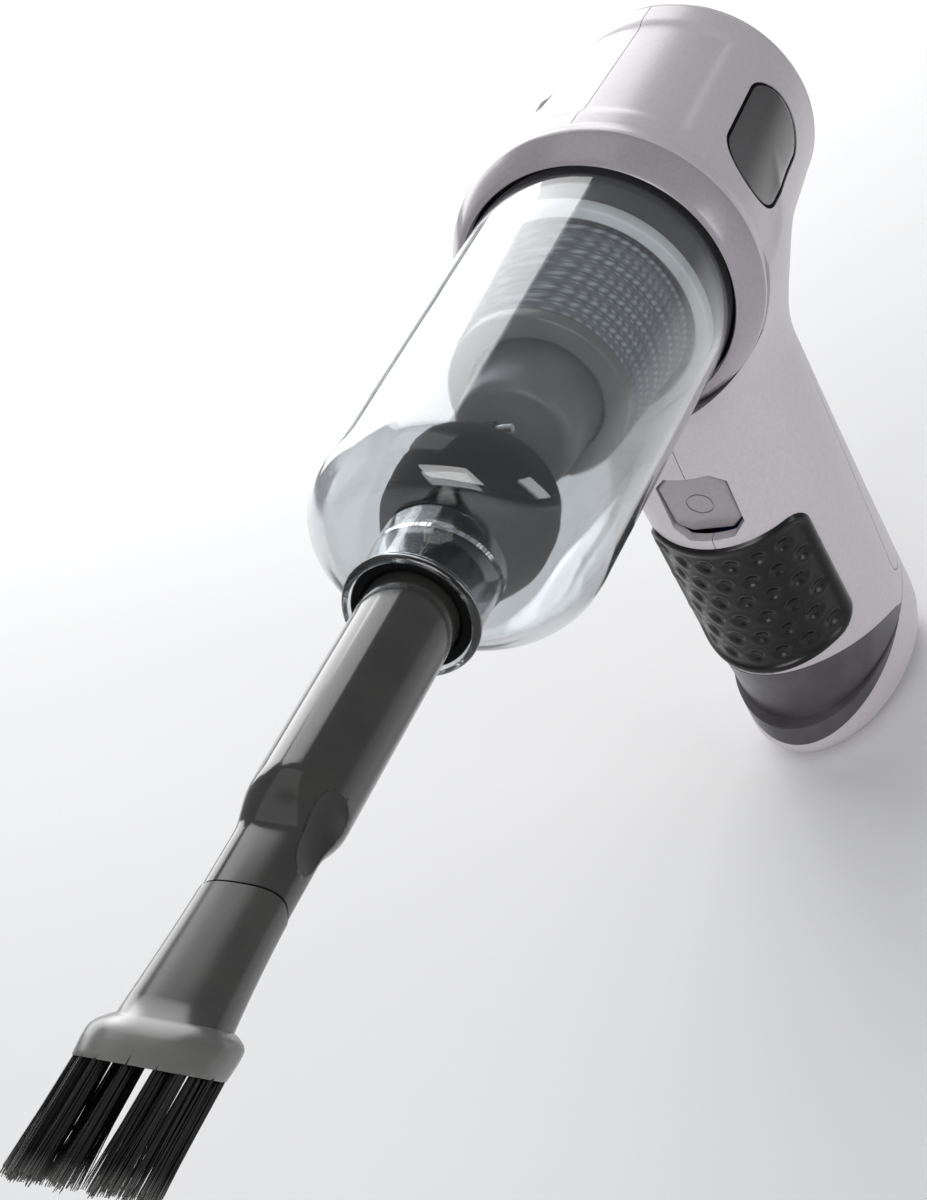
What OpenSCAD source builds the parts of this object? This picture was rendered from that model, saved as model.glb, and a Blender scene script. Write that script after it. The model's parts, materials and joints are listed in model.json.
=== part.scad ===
// Cordless pistol-grip handheld vacuum with a clear dust cup and a slip-on brush nozzle.
// Frame: +X forward through the nozzle, +Z up, origin at the middle of the handle's flat base.

/* [Dust cup] */
// Outer diameter of the clear dust cup
cup_d = 56; // [55:0.5:57]
// Wall thickness of the dust cup
cup_wall = 2; // [1.6:0.1:2.4]

/* [Motor housing] */
// Height of the barrel's axis above the base
axis_z = 139; // [138:0.5:141]
// Wall thickness of the housing halves
wall = 2.6; // [2.4:0.1:2.8]

/* [Handle] */
// Backward lean of the handle in degrees
lean = 16.85; // [16:0.05:17.5]
// Front-to-back half depth of the handle at its top
grip_a0 = 22.8; // [22.5:0.1:23.5]
// Front-to-back half depth of the handle at its base
grip_a1 = 33.9; // [33:0.1:35]
// Half width of the handle at its top
grip_b0 = 23.5; // [23:0.1:24.5]
// Half width of the handle at its base
grip_b1 = 19; // [18.6:0.1:20]

/* [Nozzle] */
// Outer radius of the nozzle's round tube
tube_r = 9.2; // [9:0.1:9.4]
// Roll of the flat brush mouth about the barrel in degrees
nozzle_roll = -15; // [-20:1:0]
// Free length of the bristles
bristle_len = 26.8; // [18:0.2:28]

/* [Hidden] */
$fn = 64;
run = 0.03;        // radial running clearance of the shaft in its bearings
gap = 0.3;         // clearance between pieces that slide past each other
joint_gap = 0.02;  // half the parting gap between the housing halves

// Stations along the barrel, from the back of the rear cap to the bristle tips
x_shell0 = -8;     // back of the housing halves
x_shell1 = 50;     // front of the housing halves
x_collar = 63.2;   // front of the collar
x_cup0 = 57.5;     // back rim of the dust cup
x_dome = 108.3;    // centre of the cup's domed front
x_port = 179.8;    // mouth of the inlet port
x_tube0 = 167;     // back end of the nozzle tube, inside the port
x_neck0 = 236;     // end of the nozzle's round part
x_neck1 = 247;     // start of its flat duct
x_sleeve = 262;    // back edge of the brush sleeve
x_spigot1 = 290;   // front end of the nozzle's spigot, inside the sleeve
x_flare = 291;     // where the brush collar starts to flare
x_mouth = 302;     // middle of the slanted brush mouth
slant = 1;         // how far the mouth runs forward for each millimetre up

cup_r = cup_d / 2;
cup_ri = cup_r - cup_wall;
collar_ri = cup_r + 1;
collar_ro = 33.1;
dome_r = 60;       // radius of the cup's domed front
dome_up = 12.3;      // how far above the axis the dome is centred
port_ro = 12.2;
lip_ro = 13.2;
port_ri = 11.6;
shell_r1 = 31.8;   // housing radius at the front
shell_r0 = 27.8;   // housing radius at the back
shell_rise = 2.4;  // how far the housing's back end sits above the axis
spigot_r = shell_r1 - 2.2; // radius of the collar's spigot inside the housing

// Handle frame: origin inside the top of the handle, local -Z runs down the handle, local +X is its front
grip_x = 31.2;
grip_z = axis_z - 35.1;
grip_len = grip_z / cos(lean);
s_seam = 87;       // end cap seam, measured down the handle
scoop_s = 68;      // where the finger scoop begins
scoop_depth = 3.2;
base_round = 10;

// Button, grip pad and battery cover, in the handle frame
btn_s = 19.8;
btn_travel = 1.2;
board_u = 14.6;     // back face of the main board
flange_u = board_u + 1.2 + 1.6 + btn_travel + 0.1; // back of the button, clear of the switch by its travel
pad_s0 = 31.2;
pad_s1 = 69.5;
pad_half = 18;
cover_s0 = 10;
cover_s1 = 84;
cover_u = -6;

// Side window in the housing
win_x = 24;
win_len = 39;
win_w = 18;
win_tilt = 18;

// Battery cells
cell_r = 9.1;
cell_len = 65;
cell_s0 = 14;
cell_u = [-13.1, 5.3];

// Charging board and its socket, above the floor of the end cap
board_z = 11;
board_t = 1.2;
socket_z = board_z + board_t + 1.6;

// Motor
motor_r = 17;
shaft_r = 1.5;
bearing_r = 4;
x_motor0 = 8;
x_motor1 = 38;

// ---------- helpers ----------

// Children drawn along +Z are laid along the barrel's axis, starting at station x
module barrel(x = 0) { translate([x, 0, axis_z]) rotate([0, 90, 0]) children(); }

// A tube along the barrel between two stations
module tube(x0, x1, ro, ri) {
    barrel(x0) difference() {
        cylinder(r = ro, h = x1 - x0);
        translate([0, 0, -1]) cylinder(r = ri, h = x1 - x0 + 2);
    }
}

// A solid turned about the barrel's axis from [radius, station] points
module turned(points) { barrel() rotate_extrude() polygon(points); }

module handle_frame() { translate([grip_x, 0, grip_z]) rotate([0, lean, 0]) children(); }

// A closed solid through rings of points, each ring with the same count
module loft(rings) {
    n = len(rings[0]);
    m = len(rings);
    points = [for (ring = rings) each ring];
    sides = [for (i = [0:m - 2], j = [0:n - 1]) each [
        [i * n + j, (i + 1) * n + (j + 1) % n, i * n + (j + 1) % n],
        [i * n + j, (i + 1) * n + j, (i + 1) * n + (j + 1) % n]]];
    caps = [[for (j = [0:n - 1]) j], [for (j = [n - 1:-1:0]) (m - 1) * n + j]];
    polyhedron(points = points, faces = concat(sides, caps));
}

// ---------- handle outline ----------

grip_n = 40;
function grip_a(s) = grip_a0 + (grip_a1 - grip_a0) * s / grip_len;
function grip_b(s) = grip_b0 + (grip_b1 - grip_b0) * s / grip_len;

// Depth of the finger scoop, which fades from the front of the handle to its sides
function scoop(s, t) = s < scoop_s ? 0
    : scoop_depth * sin(90 * min(1, (s - scoop_s) / (s_seam - scoop_s))) * max(0, cos(t));

// One ring round the handle at distance s from its top, grown by off
function grip_ring(s, off, scooped) = [for (i = [0:grip_n - 1])
    let (t = 360 * i / grip_n, cut = scooped ? scoop(s, t) : 0)
    [(grip_a(s) + off - cut) * cos(t), (grip_b(s) + off - cut * 0.3) * sin(t), -s]];

// Rings from the seam to the flat base; the last one lies level, and its edge is rounded
function base_ring(k, off) =
    let (s = s_seam + k * (grip_len - s_seam),
        edge = max(0, (k - 0.45) / 0.55),
        inset = base_round * (1 - sqrt(1 - edge * edge)) - off)
    [for (i = [0:grip_n - 1])
        let (t = 360 * i / grip_n, x = (grip_a(s) - inset) * cos(t))
        [x, (grip_b(s) - inset) * sin(t), -s + k * tan(lean) * x]];

module grip_solid(off = 0, s0 = -18, s1 = s_seam) {
    steps = 10;
    loft([for (i = [steps:-1:0]) grip_ring(s0 + (s1 - s0) * i / steps, off, true)]);
}

// The end of the handle below the seam; lift raises its floor
module base_solid(off = 0, lift = 0) {
    ks = [0, 0.2, 0.45, 0.6, 0.75, 0.87, 0.95, 1];
    translate([0, 0, lift]) loft([for (i = [7:-1:0]) base_ring(ks[i], off)]);
}

// ---------- housing ----------

taper = atan(shell_rise / (x_shell1 - x_shell0));

function barrel_r(x) = shell_r0 + (shell_r1 - shell_r0) * (x - x_shell0) / (x_shell1 - x_shell0);

// The tapered motor barrel, whose back end sits a little above the axis
module barrel_solid(off = 0, x0 = x_shell0, x1 = x_shell1) {
    translate([x_shell1, 0, axis_z]) rotate([0, -90 + taper, 0])
        translate([0, 0, x_shell1 - x1]) cylinder(r1 = barrel_r(x1) + off, r2 = barrel_r(x0) + off,
            h = (x1 - x0) / cos(taper));
}

module window_prism(grow = 0, side = 1) {
    translate([win_x, 0, axis_z]) rotate([side * (90 - win_tilt) * -1, 0, 0])
        linear_extrude(60) offset(delta = grow) hull()
            for (k = [-1, 1]) translate([k * (win_len - win_w) / 2, 0]) circle(r = win_w / 2, $fn = 32);
}

module button_outline(grow = 0) {
    w = 7.8 + grow;
    h = 8.6 + grow;
    c = 3;
    translate([0, btn_s])
        polygon([[-w, c - h], [c - w, -h], [w - c, -h], [w, c - h], [w, h - c], [w - c, h], [c - w, h], [-w, h - c]]);
}

// Extrudes a (y, down the handle) outline towards the handle's front from depth u
module front_prism(u, length) {
    handle_frame() translate([u, 0, 0]) rotate([90, 0, 90]) mirror([0, 1, 0]) linear_extrude(length) children();
}

module pad_outline(grow = 0) {
    r = 5;
    hull() for (y = [-1, 1], s = [pad_s0 + r, pad_s1 - r])
        translate([y * (pad_half + grow - r), s]) circle(r = r + grow, $fn = 24);
}

// The battery cover's outline seen from the side, in (u, s)
module cover_outline(grow = 0) {
    r = 7;
    hull() for (s = [cover_s0 + r, cover_s1 - r]) {
        translate([cover_u - r, -s]) circle(r = r + grow, $fn = 32);
        translate([-60, -s]) square([2, 2 * (r + grow)], center = true);
    }
}

module cover_prism(grow = 0) {
    handle_frame() translate([0, 40, 0]) rotate([90, 0, 0]) linear_extrude(80) cover_outline(grow);
}

screw_points = [[20, axis_z + 22.5], [20, axis_z - 22.5], [36, grip_z + 2], [5.6, 25]];

module screw_boss(p, r, y0, y1) {
    translate([p[0], y0, p[1]]) rotate([-90, 0, 0]) cylinder(r = r, h = y1 - y0, $fn = 32);
}

module housing_outer() {
    intersection() {
        barrel_solid(0, x_shell0, x_shell1 + 3);
        translate([-100, -100, 0]) cube([100 + x_shell1, 200, 300]);
    }
    difference() {
        handle_frame() grip_solid();
        barrel(x_shell1) cylinder(r = collar_ro + gap, h = 30);
    }
}

module housing_inner() {
    barrel_solid(-wall, x_shell0 - 1, x_shell1 + 1);
    handle_frame() grip_solid(-wall, -16, s_seam + 1);
}

module housing_half(side) {
    pilot = side > 0 ? 1.1 : 1.6;
    difference() {
        intersection() {
            housing_outer();
            translate([-100, side > 0 ? joint_gap : -80 - joint_gap, -10]) cube([300, 80, 300]);
            union() {
                difference() {
                    translate([-100, -80, -10]) cube([300, 160, 300]);
                    housing_inner();
                }
                for (p = screw_points) screw_boss(p, 3.2, -40, 40);
            }
        }
        for (p = screw_points) screw_boss(p, pilot, -14, 12);
        if (side < 0) for (p = screw_points) screw_boss(p, 2.9, -40, -10);
        front_prism(10, 30) button_outline(gap);
        intersection() {
            front_prism(5, 40) pad_outline();
            difference() {
                handle_frame() grip_solid(4);
                handle_frame() grip_solid(-1.2);
            }
        }
        cover_prism(0.15);
        window_prism(0, side);
        barrel(x_shell1 - 6) cylinder(r = spigot_r + gap, h = 10);
    }
}

module shell_left() { color("silver") housing_half(1); }
module shell_right() { color("silver") housing_half(-1); }

module front_collar() {
    color("gainsboro") turned([[collar_ri - 1.6, x_shell1 - 5.5], [spigot_r, x_shell1 - 5.5], [spigot_r, x_shell1],
        [shell_r1 + 0.4, x_shell1], [collar_ro - 0.3, x_shell1 + 2.5], [collar_ro, x_shell1 + 5],
        [collar_ro - 0.8, x_shell1 + 7], [collar_ri + 0.5, x_collar - 0.3], [collar_ri, x_collar],
        [collar_ri, x_cup0 - 0.5], [collar_ri - 1.6, x_cup0 - 1.3]]);
}

module rear_cap() {
    slots = 9;
    color("silver") translate([x_shell0, 0, axis_z + shell_rise]) rotate([0, -90 + taper, 0]) difference() {
        rotate_extrude() polygon([[0, 8], [14, 7.2], [21, 5.2], [25.6, 2], [27.2, 0], [27.8 - wall, 0],
            [27.6 - wall, -5], [26 - wall, -5], [25.5 - wall, 0], [20, 3], [13.5, 5.1], [0, 6]]);
        for (i = [0:slots - 1]) rotate(i * 360 / slots) translate([10, -1, 0]) cube([10, 2, 12]);
    }
}

module end_cap() {
    color("gainsboro") {
        difference() {
            handle_frame() base_solid();
            handle_frame() base_solid(-2.4, 2.4);
            translate([-60, 0, socket_z]) rotate([0, 90, 0]) linear_extrude(40) socket_outline(1.75);
        }
        for (x = [-19, -6], y = [-4, 4]) translate([x, y, 2]) cylinder(r = 1.6, h = board_z - 2);
    }
}

module battery_cover() {
    color("gray") intersection() {
        cover_prism(-0.15);
        difference() {
            handle_frame() grip_solid(0.5);
            handle_frame() grip_solid(-1.6);
        }
    }
}

module grip_pad() {
    color("black") intersection() {
        front_prism(5, 40) pad_outline(-0.15);
        difference() {
            handle_frame() grip_solid(0.4);
            handle_frame() grip_solid(-1.15);
        }
    }
}

module power_button() {
    face = grip_a(btn_s) - 0.7;
    color("darkgray") {
        intersection() {
            front_prism(flange_u, face - flange_u) button_outline();
            handle_frame() grip_solid(-0.4);
        }
        intersection() {
            front_prism(flange_u, 4) button_outline(0.9);
            handle_frame() grip_solid(-wall - gap);
        }
    }
}

module tact_switch() {
    color("dimgray") front_prism(board_u + board_t, 1.6) translate([-3, btn_s - 3]) square(6);
}

module main_board() {
    color("darkgreen") front_prism(board_u, board_t) translate([-8, 5]) square([16, 26]);
}

module side_window(side) {
    color([0.15, 0.16, 0.17]) intersection() {
        window_prism(-0.1, side);
        difference() {
            barrel_solid(-0.4);
            barrel_solid(-2.2, x_shell0 - 1, x_shell1 + 1);
        }
    }
}
module window_left() { side_window(1); }
module window_right() { side_window(-1); }

module shell_screws() {
    color("silver") for (p = screw_points) {
        screw_boss(p, 1.05, -10, 8);
        screw_boss(p, 2.6, -12, -10);
    }
}

// ---------- power ----------

module battery_cell(u) {
    color("steelblue") handle_frame() translate([u, 0, -cell_s0 - cell_len]) {
        cylinder(r = cell_r, h = cell_len);
        translate([0, 0, cell_len]) cylinder(r = 3, h = 0.8);
    }
}
module battery_cell_front() { battery_cell(cell_u[1]); }
module battery_cell_rear() { battery_cell(cell_u[0]); }

module battery_tray() {
    mid = (cell_u[0] + cell_u[1]) / 2;
    color("dimgray") handle_frame() difference() {
        translate([mid - 14, -11.6, -cell_s0 - cell_len]) cube([28, 8.6, cell_len]);
        for (u = cell_u) translate([u, 0, -cell_s0 - cell_len - 1]) cylinder(r = cell_r + 0.1, h = cell_len + 2);
    }
}

module nickel_strips() {
    mid = (cell_u[0] + cell_u[1]) / 2;
    color("silver") handle_frame() for (s = [cell_s0 - 0.8, cell_s0 + cell_len + 0.3])
        translate([mid - 13, -3.5, -s]) cube([26, 7, 0.3]);
}

module charge_board() {
    color("darkgreen") translate([-22, -6, board_z]) cube([20, 12, board_t]);
}

module socket_outline(r) {
    hull() for (y = [-2.9, 2.9]) translate([0, y]) circle(r = r, $fn = 24);
}

module usb_socket() {
    color("silver") translate([-29.9, 0, socket_z]) rotate([0, 90, 0]) difference() {
        linear_extrude(8.4) socket_outline(1.6);
        translate([0, 0, -1]) linear_extrude(7) socket_outline(1.3);
    }
}

// ---------- motor ----------

module motor_can() {
    color("slategray") turned([[bearing_r, x_motor0], [motor_r, x_motor0], [motor_r, x_motor1],
        [bearing_r, x_motor1], [bearing_r, x_motor1 - 3], [motor_r - 1.4, x_motor1 - 3],
        [motor_r - 1.4, x_motor0 + 3], [bearing_r, x_motor0 + 3]]);
}

module stator() { color("peru") tube(15, 31, motor_r - 1.5, 10.5); }
module bearing_front() { color("silver") tube(x_motor1 - 3, x_motor1, bearing_r, shaft_r + run); }
module bearing_rear() { color("silver") tube(x_motor0, x_motor0 + 3, bearing_r, shaft_r + run); }
module rotor_shaft() { color("lightgray") barrel(x_motor0 - 2) cylinder(r = shaft_r, h = 44); }
module rotor_core() { color("dimgray") tube(16, 30, 9.6, shaft_r); }

module impeller() {
    blades = 9;
    color("white") {
        turned([[shaft_r, 41], [20, 41], [20, 42], [6, 43.4], [4.5, 49], [shaft_r, 49]]);
        for (i = [0:blades - 1]) barrel(42) rotate(i * 360 / blades) translate([7, 0, 0.6])
            rotate(25) translate([0, -0.5, -0.3]) cube([11.5, 1, 4.6]);
    }
}

module fan_shroud() {
    color("darkgray") turned([[21, 40.6], [27, 40.6], [27, 42.4], [22.4, 42.4], [22.4, 48.6], [13, 50.6], [9.4, 50.6],
        [9.4, 49.4], [12.4, 49.4], [21, 47.8]]);
}

module motor_mount_front() { color("black") tube(30, 34, 26.6, motor_r + 0.05); }
module motor_mount_rear() { color("black") tube(9, 12, 24.2, motor_r + 0.05); }
module exhaust_foam() {
    color("gray") translate([x_shell0 + 6, 0, axis_z + shell_rise - 0.2]) rotate([0, -90, 0]) cylinder(r = 22.5, h = 5);
}

module intake_bulkhead() {
    color("dimgray") turned([[9, 51.6], [27.3, 51.6], [27.3, 54], [12.3, 54], [12.3, 59], [10.6, 59], [10.6, 54], [9, 54]]);
}

// ---------- dust cup and filter ----------

module filter_seal() { color("dimgray") tube(54.1, 56.9, 22.5, 12.7); }

module filter_cage() {
    ribs = 12;
    color("lightgray") difference() {
        turned([[12.7, 57], [25.4, 57], [25.4, 59.5], [23, 61], [18, 106], [13.7, 106], [13.7, 104.6],
            [16.6, 104.6], [21.4, 61.6], [21.4, 59], [12.7, 59]]);
        for (i = [0:ribs - 1]) barrel(66) rotate(i * 360 / ribs) translate([10, -3.2, 0]) cube([20, 6.4, 34]);
    }
}

module pleated_filter() {
    pleats = 18;
    color("whitesmoke") barrel(60) difference() {
        linear_extrude(40) polygon([for (i = [0:2 * pleats - 1])
            let (r = i % 2 == 0 ? 16.2 : 12.4) r * [cos(180 * i / pleats), sin(180 * i / pleats)]]);
        translate([0, 0, -1]) cylinder(r = 10.4, h = 42);
    }
}

module filter_cap() {
    color("dimgray") turned([[0, 101], [13.2, 101], [13.6, 106.1], [13.6, 118], [12, 120.4], [0, 121]]);
}

// The cup's outer or inner form: a round tube whose domed front leans back towards the bottom
module cup_form(r, big_r, x0) {
    intersection() {
        barrel(x0) cylinder(r = r, h = 180 - x0);
        union() {
            translate([x_dome, 0, axis_z + dome_up]) sphere(r = big_r, $fn = 96);
            barrel(x0) cylinder(r = r + 1, h = x_dome + 8 - x0);
        }
    }
}

module dust_cup() {
    color([0.85, 0.88, 0.9, 0.4]) difference() {
        cup_form(cup_r, dome_r, x_cup0);
        cup_form(cup_ri, dome_r - cup_wall, x_cup0 - 1);
        barrel(150) cylinder(r = port_ro, h = 40);
    }
}

module cup_seal() { color("black") tube(x_cup0 + 1.5, x_cup0 + 3.5, collar_ri - gap, cup_r); }

module port_sleeve() {
    color("lightgray") turned([[port_ri, 160.8], [port_ro, 160.8], [port_ro, 178], [lip_ro, 179.4], [lip_ro, x_port - 0.4],
        [lip_ro - 0.4, x_port], [port_ri, x_port]]);
}

module inlet_duct() {
    color([0.08, 0.08, 0.09]) difference() {
        turned([[10, 138], [13.5, 138], [16.6, 141.5], [17, 145], [15.4, 151], [12.8, 157], [port_ri, 160.5],
            [port_ri, 165], [10, 165]]);
        translate([140 - 3.3, -20, axis_z + 10.1]) cube([3.6, 40, 4.4]);
    }
    color([0.08, 0.08, 0.09]) for (y = [-9.6, 6.6])
        translate([136.7, y, axis_z + 11]) difference() {
            translate([0, 0, -0.9]) cube([4, 3, 3.5]);
            translate([1.2, -1, 0.9]) rotate([-90, 0, 0]) cylinder(r = 0.82, h = 5, $fn = 24);
        }
}

module inlet_flap() {
    color("black") difference() {
        union() {
            barrel(136.6) cylinder(r = 10.6, h = 1.2);
            translate([137.9, -6.3, axis_z + 11.9]) rotate([-90, 0, 0]) cylinder(r = 1.7, h = 12.6, $fn = 32);
        }
        translate([137.9, -8, axis_z + 11.9]) rotate([-90, 0, 0]) cylinder(r = 0.8 + run, h = 16, $fn = 32);
    }
}

module flap_pin() {
    color("silver") translate([137.9, -9.6, axis_z + 11.9]) rotate([-90, 0, 0]) cylinder(r = 0.8, h = 19.2, $fn = 32);
}

// ---------- nozzle ----------

module socket_ring() {
    color("black") tube(168, x_port - 0.6, port_ri - 0.08, tube_r + 0.08);
}

duct_n = 40;
duct_a = 7.6;      // half sizes of the nozzle's flat duct
duct_b = 4.6;
spigot_a = 6.3;    // half sizes of its spigot inside the brush head
spigot_b = 3.4;
head_wall = 1.2;
mouth_a = 11.8;    // half sizes of the brush mouth
mouth_b = 7.2;

// A point on a ring across the nozzle: k = 0 is round with radius r, k = 1 is a flat oval with half sizes a and b
function oval(t, k, r, a, b) = [
    (r * (1 - k) + a * k) * sign(cos(t)) * pow(abs(cos(t)), 1 - 0.3 * k),
    (r * (1 - k) + b * k) * sign(sin(t)) * pow(abs(sin(t)), 1 - 0.3 * k)];

// The whole ring at station x; lean_over tips it forward at the top
function nozzle_ring(x, k, r, a, b, lean_over = 0) = [for (i = [0:duct_n - 1])
    let (p = oval(360 * i / duct_n, k, r, a, b)) [x + lean_over * p[1], p[0], p[1]]];

function ease(k) = k * k * (3 - 2 * k);

module nozzle_frame() { translate([0, 0, axis_z]) rotate([nozzle_roll, 0, 0]) children(); }

// The neck runs back 1 mm inside the round tube, a hair thinner than it
module neck(inset, x1) {
    steps = 6;
    r = tube_r - inset - 0.06;
    loft(concat(
        [nozzle_ring(x_neck0 - 1, 0, r, 0, 0)],
        [for (i = [0:steps]) nozzle_ring(x_neck0 + (x_neck1 - x_neck0) * i / steps, ease(i / steps),
            r, duct_a - inset, duct_b - inset)],
        [nozzle_ring(x1, 1, 0, duct_a - inset, duct_b - inset)]));
}

// The oval spigot, or with grow above 0 the socket it sits in
module spigot(grow, x0, x1) {
    loft([for (x = [x0, x1]) nozzle_ring(x, 1, 0, spigot_a + grow, spigot_b + grow)]);
}

// One long form from the port to the spigot, shrunk by inset and with its flat ends moved out by reach
module nozzle_form(inset, reach) {
    barrel(x_tube0 - reach) cylinder(r = tube_r - inset, h = x_neck0 - x_tube0 + reach);
    nozzle_frame() {
        neck(inset, x_sleeve - gap - inset);
        spigot(-inset, x_sleeve - 3, x_spigot1 + reach);
    }
}

module nozzle_tube() {
    color("gray") difference() {
        nozzle_form(0, 0);
        nozzle_form(1.3, 1);
    }
}

module brush_head() {
    grow_a = mouth_a - 8.9;
    grow_b = mouth_b - 5.5;
    color("darkgray") nozzle_frame() difference() {
        loft(concat(
            [nozzle_ring(x_sleeve, 1, 0, spigot_a + gap + head_wall, spigot_b + gap + head_wall)],
            [for (p = [[x_flare, 0], [x_flare + 2, 0.7], [x_flare + 4, 1], [x_mouth, 0.9]])
                nozzle_ring(p[0], 1, 0, 8.9 + grow_a * p[1], 5.5 + grow_b * p[1], slant)]));
        spigot(gap, x_sleeve - 1, x_spigot1 + 8);
        loft([for (p = [[x_spigot1 + 4, 0.2], [x_mouth - 3, 0.8], [x_mouth + 1, 0.9]])
            nozzle_ring(p[0], 1, 0, 6.6 + 3 * p[1], 3.7 + 1.6 * p[1], slant)]);
    }
}

tufts = 18;
module bristles() {
    color([0.05, 0.05, 0.05]) nozzle_frame() for (i = [0:tufts - 1])
        let (p = oval(360 * (i + 0.5) / tufts, 1, 0, mouth_a - 1.35, mouth_b - 1.1))
        translate([x_mouth + slant * p[1] - 1.2, p[0], p[1]]) rotate([0, 90, 0])
            cylinder(r = 0.9, h = bristle_len + 1.2, $fn = 16);
}

shell_left();
shell_right();
front_collar();
rear_cap();
end_cap();
battery_cover();
grip_pad();
power_button();
tact_switch();
main_board();
window_left();
window_right();
shell_screws();
battery_cell_front();
battery_cell_rear();
battery_tray();
nickel_strips();
charge_board();
usb_socket();
motor_can();
stator();
bearing_front();
bearing_rear();
rotor_shaft();
rotor_core();
impeller();
fan_shroud();
motor_mount_front();
motor_mount_rear();
exhaust_foam();
intake_bulkhead();
filter_seal();
filter_cage();
pleated_filter();
filter_cap();
dust_cup();
cup_seal();
inlet_duct();
inlet_flap();
flap_pin();
port_sleeve();
socket_ring();
nozzle_tube();
brush_head();
bristles();
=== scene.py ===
import json
import math
import random

import bmesh
import bpy
import numpy as np
from mathutils import Matrix, Vector


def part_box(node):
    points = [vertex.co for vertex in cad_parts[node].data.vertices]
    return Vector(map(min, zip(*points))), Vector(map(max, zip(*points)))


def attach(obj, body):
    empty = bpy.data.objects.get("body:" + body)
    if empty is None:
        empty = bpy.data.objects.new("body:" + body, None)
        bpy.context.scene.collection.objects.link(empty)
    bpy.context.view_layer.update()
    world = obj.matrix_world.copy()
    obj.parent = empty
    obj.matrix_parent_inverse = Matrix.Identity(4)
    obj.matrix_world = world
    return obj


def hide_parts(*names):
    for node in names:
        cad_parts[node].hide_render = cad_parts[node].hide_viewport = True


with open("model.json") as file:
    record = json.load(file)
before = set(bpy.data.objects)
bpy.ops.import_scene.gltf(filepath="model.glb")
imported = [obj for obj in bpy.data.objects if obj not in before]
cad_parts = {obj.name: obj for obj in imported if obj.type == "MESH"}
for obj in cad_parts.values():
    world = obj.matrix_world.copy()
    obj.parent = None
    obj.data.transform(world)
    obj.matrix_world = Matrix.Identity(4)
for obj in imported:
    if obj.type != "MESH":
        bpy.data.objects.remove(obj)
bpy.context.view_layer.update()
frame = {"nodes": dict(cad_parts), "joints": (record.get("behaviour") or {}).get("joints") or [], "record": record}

MM = 0.001  # shapes are worked out in millimetres and turned to metres at the end
random.seed(11)


# ---------- dimensions, from the frame ----------

def low(node, axis):
    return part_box(node)[0][axis] / MM


def high(node, axis):
    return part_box(node)[1][axis] / MM


def joint(name):
    return next(j for j in frame["joints"] if j["name"] == name)


X, Y, Z = 0, 1, 2
PRESS = joint("power_button_press")["axis"]
LEAN = math.atan2(PRESS[2], -PRESS[0])  # backward lean of the handle

CUP_R = high("dust_cup", Y)
CUP_BACK = low("dust_cup", X)
AXIS_Z = (high("dust_cup", Z) + low("dust_cup", Z)) / 2
COLLAR_R = high("front_collar", Y)
COLLAR_FRONT = high("front_collar", X)
COLLAR_BACK = low("front_collar", X) + 5.5  # its spigot sits 5.5 inside the housing
BARREL_BACK = high("rear_cap", X) - 6  # the rear cap's spigot sits 6 inside the housing
PORT_FRONT = high("port_sleeve", X)
PORT_R = 12.2
TUBE_R = (high("nozzle_tube", Y) - low("nozzle_tube", Y)) / 2
TUBE_BACK = low("nozzle_tube", X)
WALL = 2.2

BARREL_R0 = 27.8  # at the back
BARREL_R1 = 31.8  # at the collar
BARREL_RISE = 2.4  # how much higher its back end is
PANEL_INSET = 0.8  # the top of the barrel is a shallow panel
PANEL_EDGE = (38, 44)  # degrees from the top
PANEL_BACK = (0, 2.5)
PANEL_FRONT = (41, 45.5)
BLEND = 14  # how far barrel and handle run into each other
GRIP_TOP = Vector((31.2, 0, AXIS_Z - 35.1))
GRIP_LEN = GRIP_TOP.z / math.cos(LEAN)
GRIP_TOP_HALF = (22.8, 23.5)  # half depth and half width
GRIP_FOOT_HALF = (33.9, 19)
GRIP_INSIDE = 25  # the handle runs on into the barrel
SEAM = 87  # down the handle, where the end cap begins
SEAM_GAP = 0.12  # on each side of it
SCOOP_START = 68
SCOOP_DEPTH = 3.2
BASE_ROUND = 10

WINDOW_X = 24
WINDOW_LEN = 39
WINDOW_W = 18
WINDOW_TILT = math.radians(18)

PAD_S = (31.2, 69.5)  # from and to, down the handle
PAD_BEND = 21.6  # radius that the pad is bent round
PAD_HALF = 18
PAD_ROUND = 5
BUTTON_S = 19.8
BUTTON_HALF = (7.8, 8.6)
BUTTON_BACK = 18.8  # just clear of the switch behind it when pressed
COVER_S = (10, 84)
COVER_U = -6  # its front edge, from the handle's middle


# ---------- materials ----------

def linear(hex_colour):
    """sRGB hex to a linear colour with alpha."""
    parts = [int(hex_colour[i:i + 2], 16) / 255 for i in (1, 3, 5)]
    return (*[c / 12.92 if c <= 0.04045 else ((c + 0.055) / 1.055) ** 2.4 for c in parts], 1.0)


def add(tree, kind, settings=None, **links):
    """Adds a node; settings go to its properties or sockets, links join sockets to it."""
    node = tree.nodes.new(kind)
    for key, value in (settings or {}).items():
        if key in node.inputs:
            node.inputs[key].default_value = value
        else:
            setattr(node, key, value)
    for key, source in links.items():
        tree.links.new(source, node.inputs[key.replace("_", " ")])
    return node


def finish_of(name, base, roughness, **sockets):
    """A new material with its Principled shader; returns (material, tree, shader)."""
    mat = bpy.data.materials.new(name)
    mat.use_nodes = True
    tree = mat.node_tree
    shader = tree.nodes["Principled BSDF"]
    shader.inputs["Base Color"].default_value = linear(base)
    shader.inputs["Roughness"].default_value = roughness
    for key, value in sockets.items():
        shader.inputs[key.replace("_", " ")].default_value = value
    return mat, tree, shader


def per_metre(size_mm):
    """Texture scale whose feature repeats about every size_mm."""
    return 1 / (size_mm * MM)


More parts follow.
